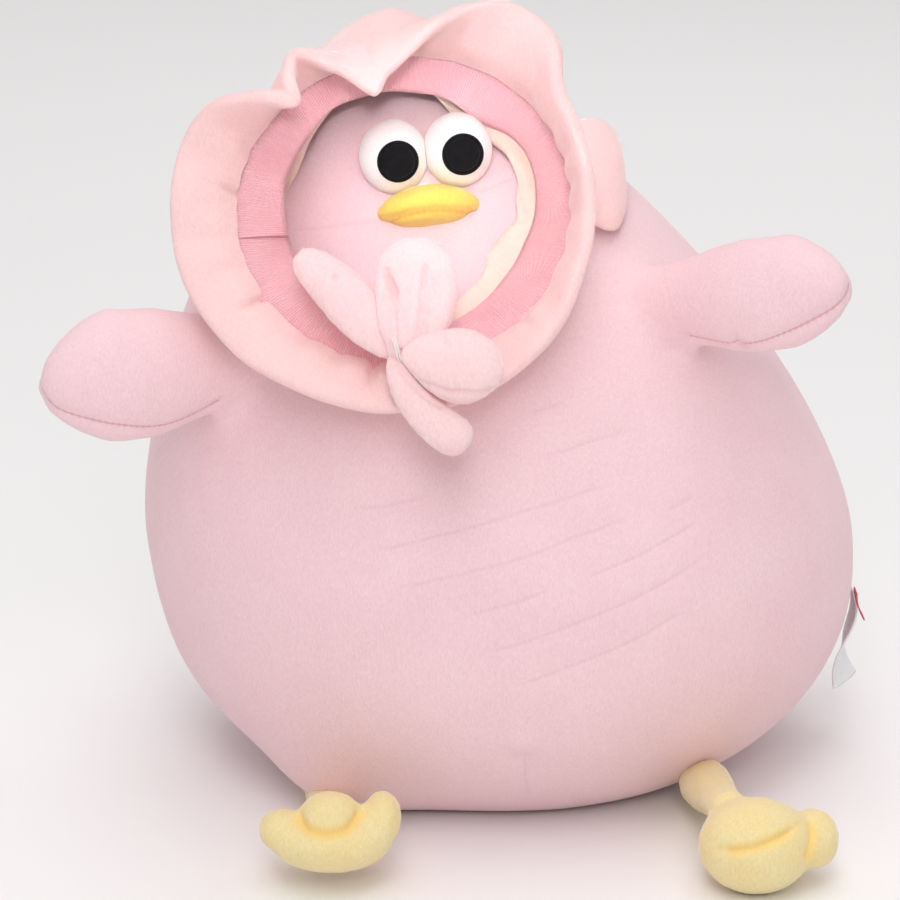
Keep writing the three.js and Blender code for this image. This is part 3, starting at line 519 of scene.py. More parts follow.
def part_of(whole, name, number):
    """One part of the skin, shaded at its border as the whole is."""
    bm = bmesh.new()
    bm.from_mesh(whole.data)
    key = bm.verts.layers.float["part"]
    if number == 0:
        other = [f for f in bm.faces if all(round(v[key]) > 0 for v in f.verts)]
    else:
        other = [f for f in bm.faces if not all(round(v[key]) == number for v in f.verts)]
    bmesh.ops.delete(bm, geom=other, context="FACES")
    piece = made(name, bm)
    shading = np.empty(len(piece.data.vertices) * 3, np.float32)
    piece.data.attributes["kept_normal"].data.foreach_get("vector", shading)
    piece.data.normals_split_custom_set_from_vertices(shading.reshape(-1, 3).tolist())
    piece.data.attributes.remove(piece.data.attributes["kept_normal"])
    piece.data.attributes.remove(piece.data.attributes["part"])
    return piece


BEND_START, BEND_END = 0.009, 0.032
body = part_of(skin, "body", 0)
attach(body, "torso")
dress(body, velour, "body_front_panel", "body_back_panel", "body_base_panel", "body_filling")
for number, (side, matrix) in enumerate(wings.items(), 1):
    wing = part_of(skin, f"{side}_wing", number)
    root = matrix.translation
    azimuth = math.atan2(root.y / DEPTH_RATIO, root.x - float(lean_at(root.z)))
    seat = body_point(root.z, azimuth)
    away = body_normal(root.z, azimuth)
    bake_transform(wing, "torso", f"{side}_wing", start=seat + away * BEND_START, end=seat + away * BEND_END)
    dress(wing, velour, f"{side}_wing_upper_panel", f"{side}_wing_lower_panel", f"{side}_wing_filling")
bpy.data.objects.remove(skin)

# Eyes and pupils
# Two stuffed balls of white plush, sewn side by side on the face so that they press flat against each
# other, each with a black felt disc that has a satin-stitched rim.
FACE_HEIGHT, FACE_SHIFT = 0.2888, 0.0024
FACE_PITCH, FACE_ROLL = math.radians(25), math.radians(6.5)
EYE_RADIUS, EYE_SPACING, EYE_SINK = 0.015, 0.0268, 0.011
PUPIL_RADIUS, PUPIL_DROP, PUPIL_YAW = 0.0083, math.radians(22), math.radians(7)
EYE_SHAPE, EYE_FUZZ, EYE_GAP = (0.95, 1.04, 1.0), 0.00012, 0.00012
# The disc's underside and top over the ball, its rim's place and roundness, and the stitches on it
DISC_UNDER, DISC_OVER, DISC_RINGS, DISC_STEPS = 0.0002, 0.0010, 12, 144
RIM_PLACE, RIM_LIFT, RIM_RADIUS, RIM_POINTS, RIM_INSIDE = 0.93, 0.0008, 0.0009, 9, 0.85
STITCHES, STITCH_HEIGHT, STITCHED_FROM = 72, 0.00016, 0.86
white_plush = pile_cloth("white_plush", linear(253, 251, 250), linear(250, 246, 244), pile=0.0005, sheen=0.6)
black_felt = pile_cloth(
    "black_felt", linear(22, 22, 25), linear(12, 12, 14), pile=0.0005, sheen=0.12, grain=1700, mottle=300
)


def facing_frame(place, pitch, roll):
    """A frame on the front: x to the toy's left, y up, z straight out."""
    turn = Matrix.Rotation(math.pi / 2 - pitch, 4, "X") @ Matrix.Rotation(roll, 4, "Z")
    return Matrix.Translation(place) @ turn


face = facing_frame(body_point(FACE_HEIGHT, FRONT) + Vector((FACE_SHIFT, 0, 0)), FACE_PITCH, FACE_ROLL)
for side, sign in (("left", 1), ("right", -1)):
    centre = Vector((sign * EYE_SPACING / 2, 0, EYE_RADIUS - EYE_SINK))
    ball = bmesh.new()
    bmesh.ops.create_uvsphere(ball, u_segments=64, v_segments=40, radius=EYE_RADIUS)
    bmesh.ops.scale(ball, vec=EYE_SHAPE, verts=ball.verts)
    bmesh.ops.translate(ball, vec=centre, verts=ball.verts)
    for vert in ball.verts:
        # Pressed flat where the two balls touch
        vert.co += vert.normal * EYE_FUZZ * noise.noise(vert.co * 500)
        vert.co.x = sign * max(sign * vert.co.x, EYE_GAP)
    ball.transform(face)
    eye = made(f"{side}_eye_ball", ball)
    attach(eye, "torso")
    dress(eye, white_plush, f"{side}_eye")

    reach = math.asin(PUPIL_RADIUS / EYE_RADIUS)
    under, over = EYE_RADIUS + DISC_UNDER, EYE_RADIUS + DISC_OVER
    outline = [(0, under)]
    for i in range(1, DISC_RINGS + 1):
        turn = reach * i / DISC_RINGS
        outline.append((under * math.sin(turn), under * math.cos(turn)))
    rim = reach * RIM_PLACE
    for i in range(RIM_POINTS):
        turn = -math.pi * 0.18 + math.pi * 1.05 * i / (RIM_POINTS - 1)
        across = EYE_RADIUS * math.sin(rim) + RIM_RADIUS * math.cos(turn)
        outline.append((across, EYE_RADIUS * math.cos(rim) + RIM_LIFT + RIM_RADIUS * math.sin(turn)))
    for i in range(9, 0, -1):
        turn = reach * RIM_INSIDE * i / 10
        outline.append((over * math.sin(turn), over * math.cos(turn)))
    outline.append((0, over))
    disc = turned(outline, DISC_STEPS)
    for vert in disc.verts:
        # Satin stitches lie across the rim
        if math.hypot(vert.co.x, vert.co.y) > PUPIL_RADIUS * STITCHED_FROM:
            vert.co.z += STITCH_HEIGHT * math.sin(STITCHES * math.atan2(vert.co.y, vert.co.x))
    aim = Matrix.Rotation(PUPIL_YAW, 4, "Y") @ Matrix.Rotation(PUPIL_DROP, 4, "X")
    disc.transform(face @ Matrix.Translation(centre) @ aim)
    pupil = made(f"{side}_pupil_disc", disc)
    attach(pupil, "torso")
    dress(pupil, black_felt, f"{side}_pupil")

# Beak
# A stuffed almond of yellow plush, seamed low along its front so that the lower lip tucks in, with
# gathered ends where the two halves meet.
BEAK_HEIGHT = 0.271
BEAK_HALF = Vector((0.0212, 0.0086, 0.0172))
BEAK_SEAM_DROP, BEAK_SEAM_BOW, BEAK_SEAM_DEPTH, BEAK_SEAM_WIDTH = 0.0042, 0.0012, 0.0009, 0.0012
BEAK_SLIM, BEAK_PINCH, BEAK_GATHERS, BEAK_ARCH = 0.16, 0.05, 9, 0.0006
BEAK_SHIFT, BEAK_SETTLE, BEAK_UNEVEN = -0.0016, 0.0012, 0.0004
# The seam colour is painted shade in the crease of the lip seam
yellow_plush = pile_cloth(
    "yellow_plush", linear(255, 226, 114), linear(254, 213, 90), sheen=0.4, grain=1300,
    seam=linear(232, 150, 40), seam_depth=0.3,
)
mouth = face.inverted() @ body_point(BEAK_HEIGHT, FRONT)
beak_frame = face @ Matrix.Translation((BEAK_SHIFT, mouth.y - BEAK_SETTLE, mouth.z))
form = bmesh.new()
bmesh.ops.create_uvsphere(form, u_segments=96, v_segments=64, radius=1)
form.transform(Matrix.Rotation(math.pi / 2, 4, "Y"))
for vert in form.verts:
    x, y, z = vert.co
    slim = 1 - BEAK_SLIM * abs(x) ** 3
    pinch = 1 + BEAK_PINCH * math.sin(BEAK_GATHERS * math.atan2(y, z)) * abs(x) ** 6
    vert.co = Vector((x * BEAK_HALF.x, y * BEAK_HALF.y * slim * pinch, z * BEAK_HALF.z * slim * pinch))
    vert.co.y += BEAK_ARCH * math.cos(x * 2.4)
bmesh.ops.recalc_face_normals(form, faces=form.faces)
form.normal_update()


def above_lip(x, y):
    """How far a point of the beak is above the bowed lip seam."""
    return y + BEAK_SEAM_DROP + BEAK_SEAM_BOW * (x / BEAK_HALF.x) ** 2


for vert in form.verts:
    dip = above_lip(vert.co.x, vert.co.y)
    vert.co -= vert.normal * BEAK_SEAM_DEPTH * bell(dip, BEAK_SEAM_WIDTH)
    vert.co += vert.normal * BEAK_UNEVEN * noise.noise(vert.co * 260)
beak = made("beak", form)
local = points(beak)
note(beak, "seam_distance", above_lip(local[:, 0], local[:, 1]))
note(beak, "seam_run", local[:, 0])
beak.data.transform(beak_frame)
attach(beak, "torso")
dress(beak, yellow_plush, "beak_upper", "beak_lower")

# Legs and feet
# Pale yellow plush sewn into a thin leg and a foot with stuffed toes, filled through the ankle. The foot
# sits on its heel with the sole to the front. The leg is stitched under the seat's edge and swings there.
SOLE_PITCH = math.radians(18)
LEG_REACH, FOOT_LIFT, FOOT_GAP = 0.062, 0.0032, 0.0006
# For each leg: hip from the joint and ankle from the foot's middle in metres, then in millimetres the foot's
# lobes (across, up, out, half sizes), its creases (points on the sole, width, depth) and the leg's rows
# (share of its length, radius)
LEGS = {
    "left": {
        "sign": 1, "turn": math.radians(8),
        "hip": (-0.007, 0.004, -0.002), "ankle": (-0.011, 0.012, 0.008),
        "lobes": [
            (-0.6, -2.5, -2, 24, 20.2, 20.5), (24.2, -0.5, -8, 10.8, 13, 13), (-12, 3, -5, 10, 11, 10),
        ],
        "creases": [
            ([(-16.5, -2.2), (-10, -1.9), (-3, -0.6), (6, 2.6), (16.5, 7.4)], 1.6, 1.9),
            ([(21.5, 14), (22, 3), (19, -10)], 1.5, 1.6),
        ],
        "shank": [(0, 11.6), (0.3, 10.4), (0.65, 8.4), (1, 8.2)],
    },
    "right": {
        "sign": -1, "turn": math.radians(-15),
        "hip": (0.014, 0.006, -0.009), "ankle": (0.004, 0.014, -0.005),
        "lobes": [
            (3, -2, -2, 25, 12.6, 17), (-17.8, 3.2, -4, 10, 8.8, 12),
            (24, 7.6, -5, 8.4, 12, 11.5), (2.6, 10.4, 0.5, 12.8, 9.4, 12),
        ],
        "creases": [
            ([(-10.5, 14), (-9.5, 8), (-6, 4.8), (2, 3.4), (10, 5), (14, 9), (16, 15)], 1.6, 2.0),
        ],
        "shank": [(0, 9), (0.4, 8.8), (1, 8.4)],
    },
}
# The part of the leg that is sewn inside the body, as (radius, place along the leg), and its end in the foot
SHANK_ROOT, SHANK_TIP, SHANK_STEPS = [(0, -0.036), (0.007, -0.034), (0.009, -0.02)], 0.006, 32
FOOT_VOXEL, FOOT_HELD, FOOT_UNEVEN = 0.0021, 0.014, 0.0003
LEG_BEND_BEFORE, LEG_BEND_AFTER = 0.006, 0.016
# The fold colour is painted shade: a deeper yellow in the creases between the toes and lobes
pale_yellow = pile_cloth(
    "pale_yellow_plush", linear(240, 225, 172), linear(244, 216, 150), pile=0.0007, sheen=0.5, grain=1200,
    mottle=60, folds=linear(252, 208, 104), fold_reach=0.0042, fold_shade_strength=0.6,
)
for side, leg in LEGS.items():
    joint = Vector(joints[f"{side}_leg_swing"]["pos_m"])
    away = Matrix.Rotation(math.pi + leg["sign"] * leg["turn"], 3, "Z") @ Vector((0, 1, 0))
    middle = joint + away * LEG_REACH + Vector((0, 0, FOOT_LIFT))
    sole = Matrix.Translation(middle) @ Matrix.Rotation(math.pi / 2 - SOLE_PITCH, 4, "X")
    hip, ankle = joint + Vector(leg["hip"]), middle + Vector(leg["ankle"])
    forms = []
    for x, y, z, *half in leg["lobes"]:
        lobe = bmesh.new()
        bmesh.ops.create_icosphere(lobe, subdivisions=4, radius=1)
        bmesh.ops.scale(lobe, vec=[h / 1000 for h in half], verts=lobe.verts)
        bmesh.ops.translate(lobe, vec=Vector((x, y, z)) / 1000, verts=lobe.verts)
        lobe.transform(sole)
        forms.append(lobe)
    length = (ankle - hip).length
    rows = [(radius / 1000, share * length) for share, radius in leg["shank"]]
    shank = turned([*SHANK_ROOT, *rows, (0, length + SHANK_TIP)], SHANK_STEPS)
    lie = Matrix.Translation(hip) @ (ankle - hip).to_track_quat("Z", "Y").to_matrix().to_4x4()
    shank.transform(lie)
    foot = made(f"{side}_leg_and_foot", shank, *forms)
    skin_over(foot, FOOT_VOXEL)
    ease(foot, 5)
    held = np.linalg.norm(points(foot) - np.array(hip), axis=1) < FOOT_HELD
    stuff(foot, pressure=4, cap=0.0012, held=held, frames=12)
    refine(foot)
    co, out = points(foot), normals(foot)
    flat = in_frame(co, sole) * 1000
    push = FOOT_UNEVEN * np.array([noise.noise(Vector(p) * 190) for p in co])
    # fold_distance and fold_depth place the painted crease shade of the yellow plush
    fold_distance, fold_depth = np.full(len(co), 1.0), np.zeros(len(co))
    for line, width, depth in leg["creases"]:
        apart, where = from_line(flat[:, :2], line)
        taper = np.clip(np.sin(math.pi * np.clip(where, 0.04, 0.96)) * 2.5, 0, 1)
        taper *= np.clip(flat[:, 2] / 4, 0, 1)
        push -= 0.001 * depth * bell(apart, width) * taper
        nearer = np.abs(apart) / 1000 < np.abs(fold_distance)
        fold_distance = np.where(nearer, apart / 1000, fold_distance)
        fold_depth = np.where(nearer, taper, fold_depth)
    co = co + out * push[:, None]
    co[:, 2] = np.maximum(co[:, 2], FOOT_GAP)
    move_to(foot, co)
    note(foot, "fold_distance", fold_distance)
    note(foot, "fold_depth", fold_depth)
    start, end = joint - away * LEG_BEND_BEFORE, joint + away * LEG_BEND_AFTER
    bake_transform(foot, "torso", f"{side}_leg", start=start, end=end)
    dress(foot, pale_yellow, f"{side}_leg_cover", f"{side}_foot_cover", f"{side}_leg_filling")

# Bonnet crown
# A cap of peachy velour drawn tight from the upper half of the bonnet's seam over the top and back of
# the head, gathered a little into the seam.
BONNET_HEIGHT, BONNET_SHIFT = 0.266, -0.011
BONNET_PITCH, BONNET_ROLL = math.radians(30), math.radians(8)
SEAM_HALF = (0.069, 0.0655)
SEAM_STANDOFF = 0.015
CROWN_HEM = 0.283
# The cap is drawn round the seam and the head with these gaps, and blown up from a point inside the head
CROWN_OUTSIDE, CROWN_BEHIND, CROWN_OFF_HEAD, CROWN_TOP_GAP = 0.0016, 0.0015, 0.0024, 0.0002
CROWN_HEART_HEIGHT, CROWN_HEART_FORWARD = 0.3, -0.012
SEAM_CUT, HEM_CUT, SEAM_SNAP, HEM_SNAP, SEAM_TUCK = 0.003, 0.0006, 0.010, 0.004, 0.0004
# Gathers along the seam, and fullness over the top, growing towards the back of the head
CROWN_GATHERS, GATHER_DEPTH, GATHER_REACH = 34, 0.0016, 0.016
CROWN_SWELL, BACK_SWELL, BACK_AT, CROWN_LIFT, CROWN_UNEVEN = 0.0032, 0.0033, 0.04, 0.0012, 0.0014
CROWN_WALL = 0.0022
bonnet_velour = pile_cloth("bonnet_velour", linear(250, 213, 212), linear(248, 203, 203))
bonnet_place = body_point(BONNET_HEIGHT, FRONT) + Vector((BONNET_SHIFT, 0, 0))
bonnet = facing_frame(bonnet_place, BONNET_PITCH, BONNET_ROLL)


def seam_point(angle, outwards, level):
    """A point by the seam ring in the bonnet's frame, moved outwards in its plane and out of it."""
    a, b = SEAM_HALF
    way = Vector((b * math.cos(angle), a * math.sin(angle))).normalized()
    return Vector((a * math.cos(angle) + outwards * way.x, b * math.sin(angle) + outwards * way.y, level))


def share(value, full):
    """How much of a full value is reached, from 0 to 1."""
    return min(1.0, max(0.0, value) / full)


def thicken(obj, thickness):
    wall = obj.modifiers.new("wall", "SOLIDIFY")
    wall.thickness, wall.offset = thickness, 0
    apply_all(obj)


hull = bmesh.new()
for i in range(65):
    hull.verts.new(bonnet @ seam_point(math.pi * i / 64, CROWN_OUTSIDE, SEAM_STANDOFF - CROWN_BEHIND))
for i in range(25):
    z = CROWN_HEM + (BODY_HEIGHT - CROWN_TOP_GAP - CROWN_HEM) * math.sin(math.pi / 2 * i / 24)
    for j in range(64):
        azimuth = 2 * math.pi * j / 64
        hull.verts.new(body_point(z, azimuth) + body_normal(z, azimuth) * CROWN_OFF_HEAD)
bmesh.ops.convex_hull(hull, input=hull.verts)
bmesh.ops.recalc_face_normals(hull, faces=hull.faces)
tree = BVHTree.FromBMesh(hull)
heart = Vector((float(lean_at(CROWN_HEART_HEIGHT)), CROWN_HEART_FORWARD, CROWN_HEART_HEIGHT))
cap = bmesh.new()
bmesh.ops.create_icosphere(cap, subdivisions=6, radius=0.02)
bmesh.ops.translate(cap, vec=heart, verts=cap.verts)
into = bonnet.inverted()
for vert in cap.verts:
    hit = tree.ray_cast(heart, (vert.co - heart).normalized())[0]
    vert.co = hit if hit else heart
hull.free()
front_cut, low_cut = SEAM_STANDOFF - SEAM_CUT, CROWN_HEM + HEM_CUT
beyond = [v for v in cap.verts if (into @ v.co).z > front_cut or v.co.z < low_cut]
bmesh.ops.delete(cap, geom=beyond, context="VERTS")
stray = [v for v in cap.verts if not v.link_faces]
bmesh.ops.delete(cap, geom=stray, context="VERTS")
cap.normal_update()
for vert in cap.verts:
    if vert.is_boundary:
        # The cut edge runs straight along the seam and along the hem
        flat = into @ vert.co
        if flat.z > SEAM_STANDOFF - SEAM_SNAP and vert.co.z > CROWN_HEM + HEM_SNAP:
            turn = math.atan2(flat.y / SEAM_HALF[1], flat.x / SEAM_HALF[0])
            vert.co = bonnet @ seam_point(turn, CROWN_OUTSIDE, SEAM_STANDOFF - SEAM_TUCK)
        else:
            downhill = Vector((0, 0, -1)) + vert.normal * vert.normal.z
            vert.co += downhill * ((vert.co.z - CROWN_HEM) / max(0.2, -downhill.z))
for _ in range(4):
    relax(cap, [v for v in cap.verts if not v.is_boundary])
cap.normal_update()
for vert in cap.verts:
    flat = into @ vert.co
    angle = math.atan2(flat.y, flat.x)
    behind, above = SEAM_STANDOFF - flat.z, vert.co.z - CROWN_HEM
    near = math.exp(-(behind / GATHER_REACH)) * share(behind - SEAM_TUCK, 0.006)
    rise = GATHER_DEPTH * near * math.sin(angle * CROWN_GATHERS + 2 * math.sin(angle * 5))
    full = (1 - math.exp(-behind / 0.014)) * min(1.0, above / 0.03)
    rise += (CROWN_SWELL + BACK_SWELL * share(vert.co.y, BACK_AT)) * full
    rise += CROWN_LIFT * share(behind, 0.004)
    rise += CROWN_UNEVEN * share(above, 0.02) * noise.noise(vert.co * 40)
    vert.co += vert.normal * rise
crown = made("bonnet_crown_cap", cap)
thicken(crown, CROWN_WALL)
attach(crown, "bonnet")
dress(crown, bonnet_velour, "bonnet_crown")

# Bonnet ruffle
# A doubled strip of the same velour, folded along its outer edge so that it makes a thick soft roll, and
# gathered into the seam. It lies flat at the toy's right, flops over the brow in two dips, stands up at
# the top left, cups in at the left and hangs as a smooth roll under the chin.
# Rows: angle round the ring, lean at the seam and at the fold, width
RUFFLE_ROWS = [
    (0, 84, 76, 0.0232), (17, 84, 72, 0.0240), (29, 80, 62, 0.0252), (38, 66, 36, 0.0305),
    (46, 58, 26, 0.0330), (55, 60, 30, 0.0335), (63, 66, 60, 0.0330), (71, 66, 108, 0.0355),
    (80, 70, 144, 0.0410), (90, 80, 160, 0.0450), (100, 87, 172, 0.0485), (111, 80, 138, 0.0360),
    (119, 66, 92, 0.0285), (125, 72, 112, 0.0305), (132, 80, 146, 0.0360), (140, 68, 92, 0.0310),
    (148, 48, 40, 0.0290), (157, 30, 16, 0.0280), (168, 20, 8, 0.0270), (190, 15, 4, 0.0270),
    (212, 16, 8, 0.0255), (236, 22, 16, 0.0236), (270, 30, 22, 0.0236), (300, 46, 40, 0.0232),
    (330, 74, 66, 0.0228),
]
# Where the gathering pulls a pleat out from the seam: angle, then length, width and depth in millimetres
RUFFLE_PLEATS = [
    (166, 13, 1.5, 3.4), (207, 9, 1.5, 3.2), (252, 9, 1.8, 3.2), (187, 11, 2.6, 0.9), (228, 13, 2.6, 1.4),
    (240, 10, 2.2, 1.2), (284, 9, 2.2, 1.0), (304, 10, 2.2, 1.2), (150, 9, 2.4, 1.2),
]
RUFFLE_COLUMNS, RUFFLE_TURNS, RUFFLE_BENDS = 480, 30, 6
RUFFLE_GATHERS, GATHER_LEAN, RUFFLE_INSET = 27, 11, 0.0004
RUFFLE_THIN, RUFFLE_PLUMP = 0.0006, 0.0034
# Ripples of the whole brim: waves round the ring, start, height
RUFFLE_RIPPLES = [(11, 0.7, 0.0014), (19, 2, 0.0008)]


def around(table, angle, column):
    """A smooth reading of a table of angles, closed round the ring."""
    degrees = math.degrees(angle) % 360
    count = len(table)
    for i in range(count):
        low = table[i][0]
        high = table[(i + 1) % count][0] + (360 if i == count - 1 else 0)
        if low <= degrees < high or (i == count - 1 and degrees < table[0][0]):
            t = ((degrees - low) % 360) / (high - low)
            p = [table[(i + k) % count][column] for k in (-1, 0, 1, 2)]
            slope_a, slope_b = 0.4 * (p[2] - p[0]), 0.4 * (p[3] - p[1])
            h = (2 * t**3 - 3 * t**2 + 1, t**3 - 2 * t**2 + t, 3 * t**2 - 2 * t**3, t**3 - t**2)
            return h[0] * p[1] + h[1] * slope_a + h[2] * p[2] + h[3] * slope_b


def folded_roll(name, columns, turns, middle, half):
    """A doubled strip: goes out along its upper layer, round the fold and back. middle(u, v) gives the
    middle surface and half(u, v) half the thickness there."""
    bm = bmesh.new()
    bmesh.ops.create_grid(bm, x_segments=columns, y_segments=turns, size=0.5)
    step = 1e-3
    for vert in bm.verts:
        u, w = vert.co.x + 0.5, vert.co.y + 0.5
        v, layer = (2 * w, 1) if w < 0.5 else (2 - 2 * w, -1)
        v = 1 - (1 - v) ** 1.6
        along = middle(u + step, v) - middle(u - step, v)
        across = middle(u, min(1, v + step)) - middle(u, v - step)
        vert.co = middle(u, v) + along.cross(across).normalized() * layer * half(u, v)
    bmesh.ops.remove_doubles(bm, verts=bm.verts, dist=1e-6)
    bmesh.ops.recalc_face_normals(bm, faces=bm.faces)
    return made(name, bm)


ruffle_steps = RUFFLE_COLUMNS * 4
ruffle_shape = [
    [around(RUFFLE_ROWS, 2 * math.pi * i / ruffle_steps, k) for k in (1, 2, 3)] for i in range(ruffle_steps)
]


def ruffle_middle(u, v):
    angle = 2 * math.pi * (u % 1)
    place = (u % 1) * ruffle_steps
    low = int(place)
    a, b = ruffle_shape[low % ruffle_steps], ruffle_shape[(low + 1) % ruffle_steps]
    lean0, lean1, width = [x + (y - x) * (place - low) for x, y in zip(a, b)]
    gather = GATHER_LEAN * math.sin(RUFFLE_GATHERS * angle + 1.5 * math.sin(4 * angle)) * (1 - v) ** 2
    out = level = 0.0
    for k in range(RUFFLE_BENDS):
        turn = math.radians(lean0 + gather + (lean1 - lean0) * v * (k + 0.5) / RUFFLE_BENDS)
        out += width * v / RUFFLE_BENDS * math.cos(turn)
        level += width * v / RUFFLE_BENDS * math.sin(turn)
    ripple = sum(rise * math.sin(waves * angle + start) for waves, start, rise in RUFFLE_RIPPLES)
    level += ripple * v * (1.3 - 0.3 * v)
    return seam_point(angle, RUFFLE_INSET + out, SEAM_STANDOFF + level)


def ruffle_half(u, v):
    plump = min(1, 0.25 + v / 0.4) * math.sqrt(max(0.0, 1 - v**7))
    return RUFFLE_THIN + RUFFLE_PLUMP * plump


ruffle = folded_roll("bonnet_ruffle_roll", RUFFLE_COLUMNS, RUFFLE_TURNS, ruffle_middle, ruffle_half)
co, out = points(ruffle), normals(ruffle)
push = np.zeros(len(co))
for angle, length, width, depth in RUFFLE_PLEATS:
    ends = [seam_point(math.radians(angle), outwards / 1000, 0).xy for outwards in (0.5, length)]
    apart, where = from_line(co[:, :2], ends)
    upper = np.clip(out[:, 2] * 2, 0, 1)
    push -= depth / 1000 * bell(apart * 1000, width) * (1 - 0.6 * where) * upper
move_to(ruffle, co + out * push[:, None])
ruffle.data.transform(bonnet)
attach(ruffle, "bonnet")
dress(ruffle, bonnet_velour, "bonnet_ruffle")

# Ribbed band
# A strip of fine ribbed knit, pinker than the velour, sewn into the seam with its ribs across it. Its
# ends overlap at the toy's right, and its free edge stands a little wavy round the face.
BAND_START, BAND_END = math.radians(172), math.radians(172 + 371)
BAND_RIBS = 400
# Rows: angle round the ring, slope into the bonnet, width
BAND_ROWS = [
    (0, 46, 0.0215), (30, 54, 0.0195), (55, 34, 0.0205), (75, 27, 0.0150), (110, 26, 0.0140),
    (150, 28, 0.0185), (176, 26, 0.0215), (205, 28, 0.0220), (240, 34, 0.0210), (270, 38, 0.0200),
    (310, 33, 0.0225), (335, 36, 0.0235),
]
# Where the free edge stands up: angle, height, spread
BAND_KINKS = [(158, 0.0046, 4), (146, -0.0020, 5), (60, 0.0040, 8), (22, 0.0030, 5), (208, 0.0018, 8)]
# Waves of the free edge, the overlap of its ends and the height of a rib
BAND_WAVES = [(7, 0.4, 0.0018), (13, 0, 0.0012)]
BAND_LAP, LAP_SHARE, RIB_HEIGHT, BAND_OFF_FACE, BAND_THICKNESS = 0.0020, 0.022, 0.00018, 0.0048, 0.0011
STRIP_TUCK, STRIP_DROP, LIFT_STEP = 0.003, 0.0006, 0.0006
ribbed_knit = pile_cloth(
    "ribbed_knit", linear(254, 200, 209), linear(251, 187, 197), pile=0.0003, sheen=0.25, grain=2200, mottle=80
)


def rest_on_face(point, gap):
    """Lifts a point of the bonnet off the face where the cloth lies on it."""
    while off_body(np.array([bonnet @ point]))[0] < gap:
        point.z += LIFT_STEP
    return point


def inner_strip(rows, angle, v, drop):
    """A point of a strip that slopes from the seam into the bonnet."""
    slope, width = math.radians(around(rows, angle, 1)), around(rows, angle, 2)
    tuck = STRIP_TUCK * (1 - v) ** 4
    level = SEAM_STANDOFF - drop - width * v * math.sin(slope) - STRIP_DROP
    return seam_point(angle, tuck - width * v * math.cos(slope), level)


def from_angle(angle, degrees):
    """How far round the ring an angle is from one in degrees, the short way."""
    return (math.degrees(angle) - degrees + 180) % 360 - 180


def band_middle(u, v):
    angle = BAND_START + (BAND_END - BAND_START) * u
    wave = sum(rise * math.sin(waves * angle + start) for waves, start, rise in BAND_WAVES)
    lap = BAND_LAP * bell(1 - u, LAP_SHARE) * (0.3 + v)
    kink = sum(h * bell(from_angle(angle, at), w) for at, h, w in BAND_KINKS) * v
    point = inner_strip(BAND_ROWS, angle, v, 0.0) + Vector((0, 0, wave * v * v + lap + kink))
    rib = RIB_HEIGHT * math.sin(2 * math.pi * BAND_RIBS * u)
    return rest_on_face(point, BAND_OFF_FACE) + Vector((0, 0, rib))


def flat_strip(name, columns, rows, middle, thickness):
    """A strip of cloth laid on a middle surface."""
    bm = bmesh.new()
    bmesh.ops.create_grid(bm, x_segments=columns, y_segments=rows, size=0.5)
    for vert in bm.verts:
        vert.co = middle(vert.co.x + 0.5, vert.co.y + 0.5)
    bmesh.ops.remove_doubles(bm, verts=bm.verts, dist=1e-6)
    bmesh.ops.recalc_face_normals(bm, faces=bm.faces)
    strip = made(name, bm)
    thicken(strip, thickness)
    return strip


band = flat_strip("bonnet_band", BAND_RIBS * 4, 8, band_middle, BAND_THICKNESS)
band.data.transform(bonnet)
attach(band, "bonnet")
dress(band, ribbed_knit, "bonnet_ribbed_band")

# Lining
# The raw edge of a cream cotton lining that is caught under the band. It shows at the toy's left, where
# it has worked loose and curls.
LINING_ROWS = [
    (0, 45, 0.0320), (25, 52, 0.0290), (45, 42, 0.0248), (60, 32, 0.0215), (78, 27, 0.0110),
    (100, 26, 0.0090), (125, 44, 0.0180), (152, 66, 0.0370), (180, 72, 0.0500), (215, 72, 0.0520),
    (245, 70, 0.0460), (272, 58, 0.0340), (300, 33, 0.0310), (322, 34, 0.0360), (345, 39, 0.0350),
]
LINING_DROP, LINING_OFF_FACE, LINING_THICKNESS = 0.0026, 0.0036, 0.0007
# The loose part is centred on one angle and the curl on another: angle, spread
LOOSE_PART, CURLED_PART, CURL_HEIGHT = (-12, 48), (4, 8), 0.0045
LINING_WAVES, EDGE_SHARE, RUMPLE = [(9, 0, 0.0014), (17, 1, 0.0010)], 30, 0.0016
creamy = pile_cloth(
    "cream_cloth", linear(254, 228, 216), linear(252, 216, 203), pile=0.0002, sheen=0.15, grain=2600, mottle=120
)


def lining_middle(u, v):
    angle = 2 * math.pi * u
    loose, curled = [
        bell(from_angle(angle, at), spread) for at, spread in (LOOSE_PART, CURLED_PART)
    ]
    edge = sum(rise * math.sin(waves * angle + start) for waves, start, rise in LINING_WAVES) * loose
    point = inner_strip(LINING_ROWS, angle, v * (1 + EDGE_SHARE * edge), LINING_DROP)
    point.z += RUMPLE * math.sin(15 * angle) * loose * v * v + CURL_HEIGHT * curled * v**4
    return rest_on_face(point, LINING_OFF_FACE)


lining = flat_strip("bonnet_lining_edge", 320, 12, lining_middle, LINING_THICKNESS)
lining.data.transform(bonnet)
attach(lining, "bonnet")
dress(lining, creamy, "bonnet_lining")

# Nape frill
# A doubled strip like the ruffle, gathered to the crown's hem and lying round the back of the head; its
# rounded end shows behind the bonnet at the toy's left.
FRILL_START, FRILL_END, FRILL_HEIGHT = math.radians(-50), math.radians(216), 0.0235
FRILL_OVERLAP, FRILL_OFF_HEAD, FRILL_BELLY, FRILL_PUFF = 0.0026, 0.0052, 0.0018, 0.006
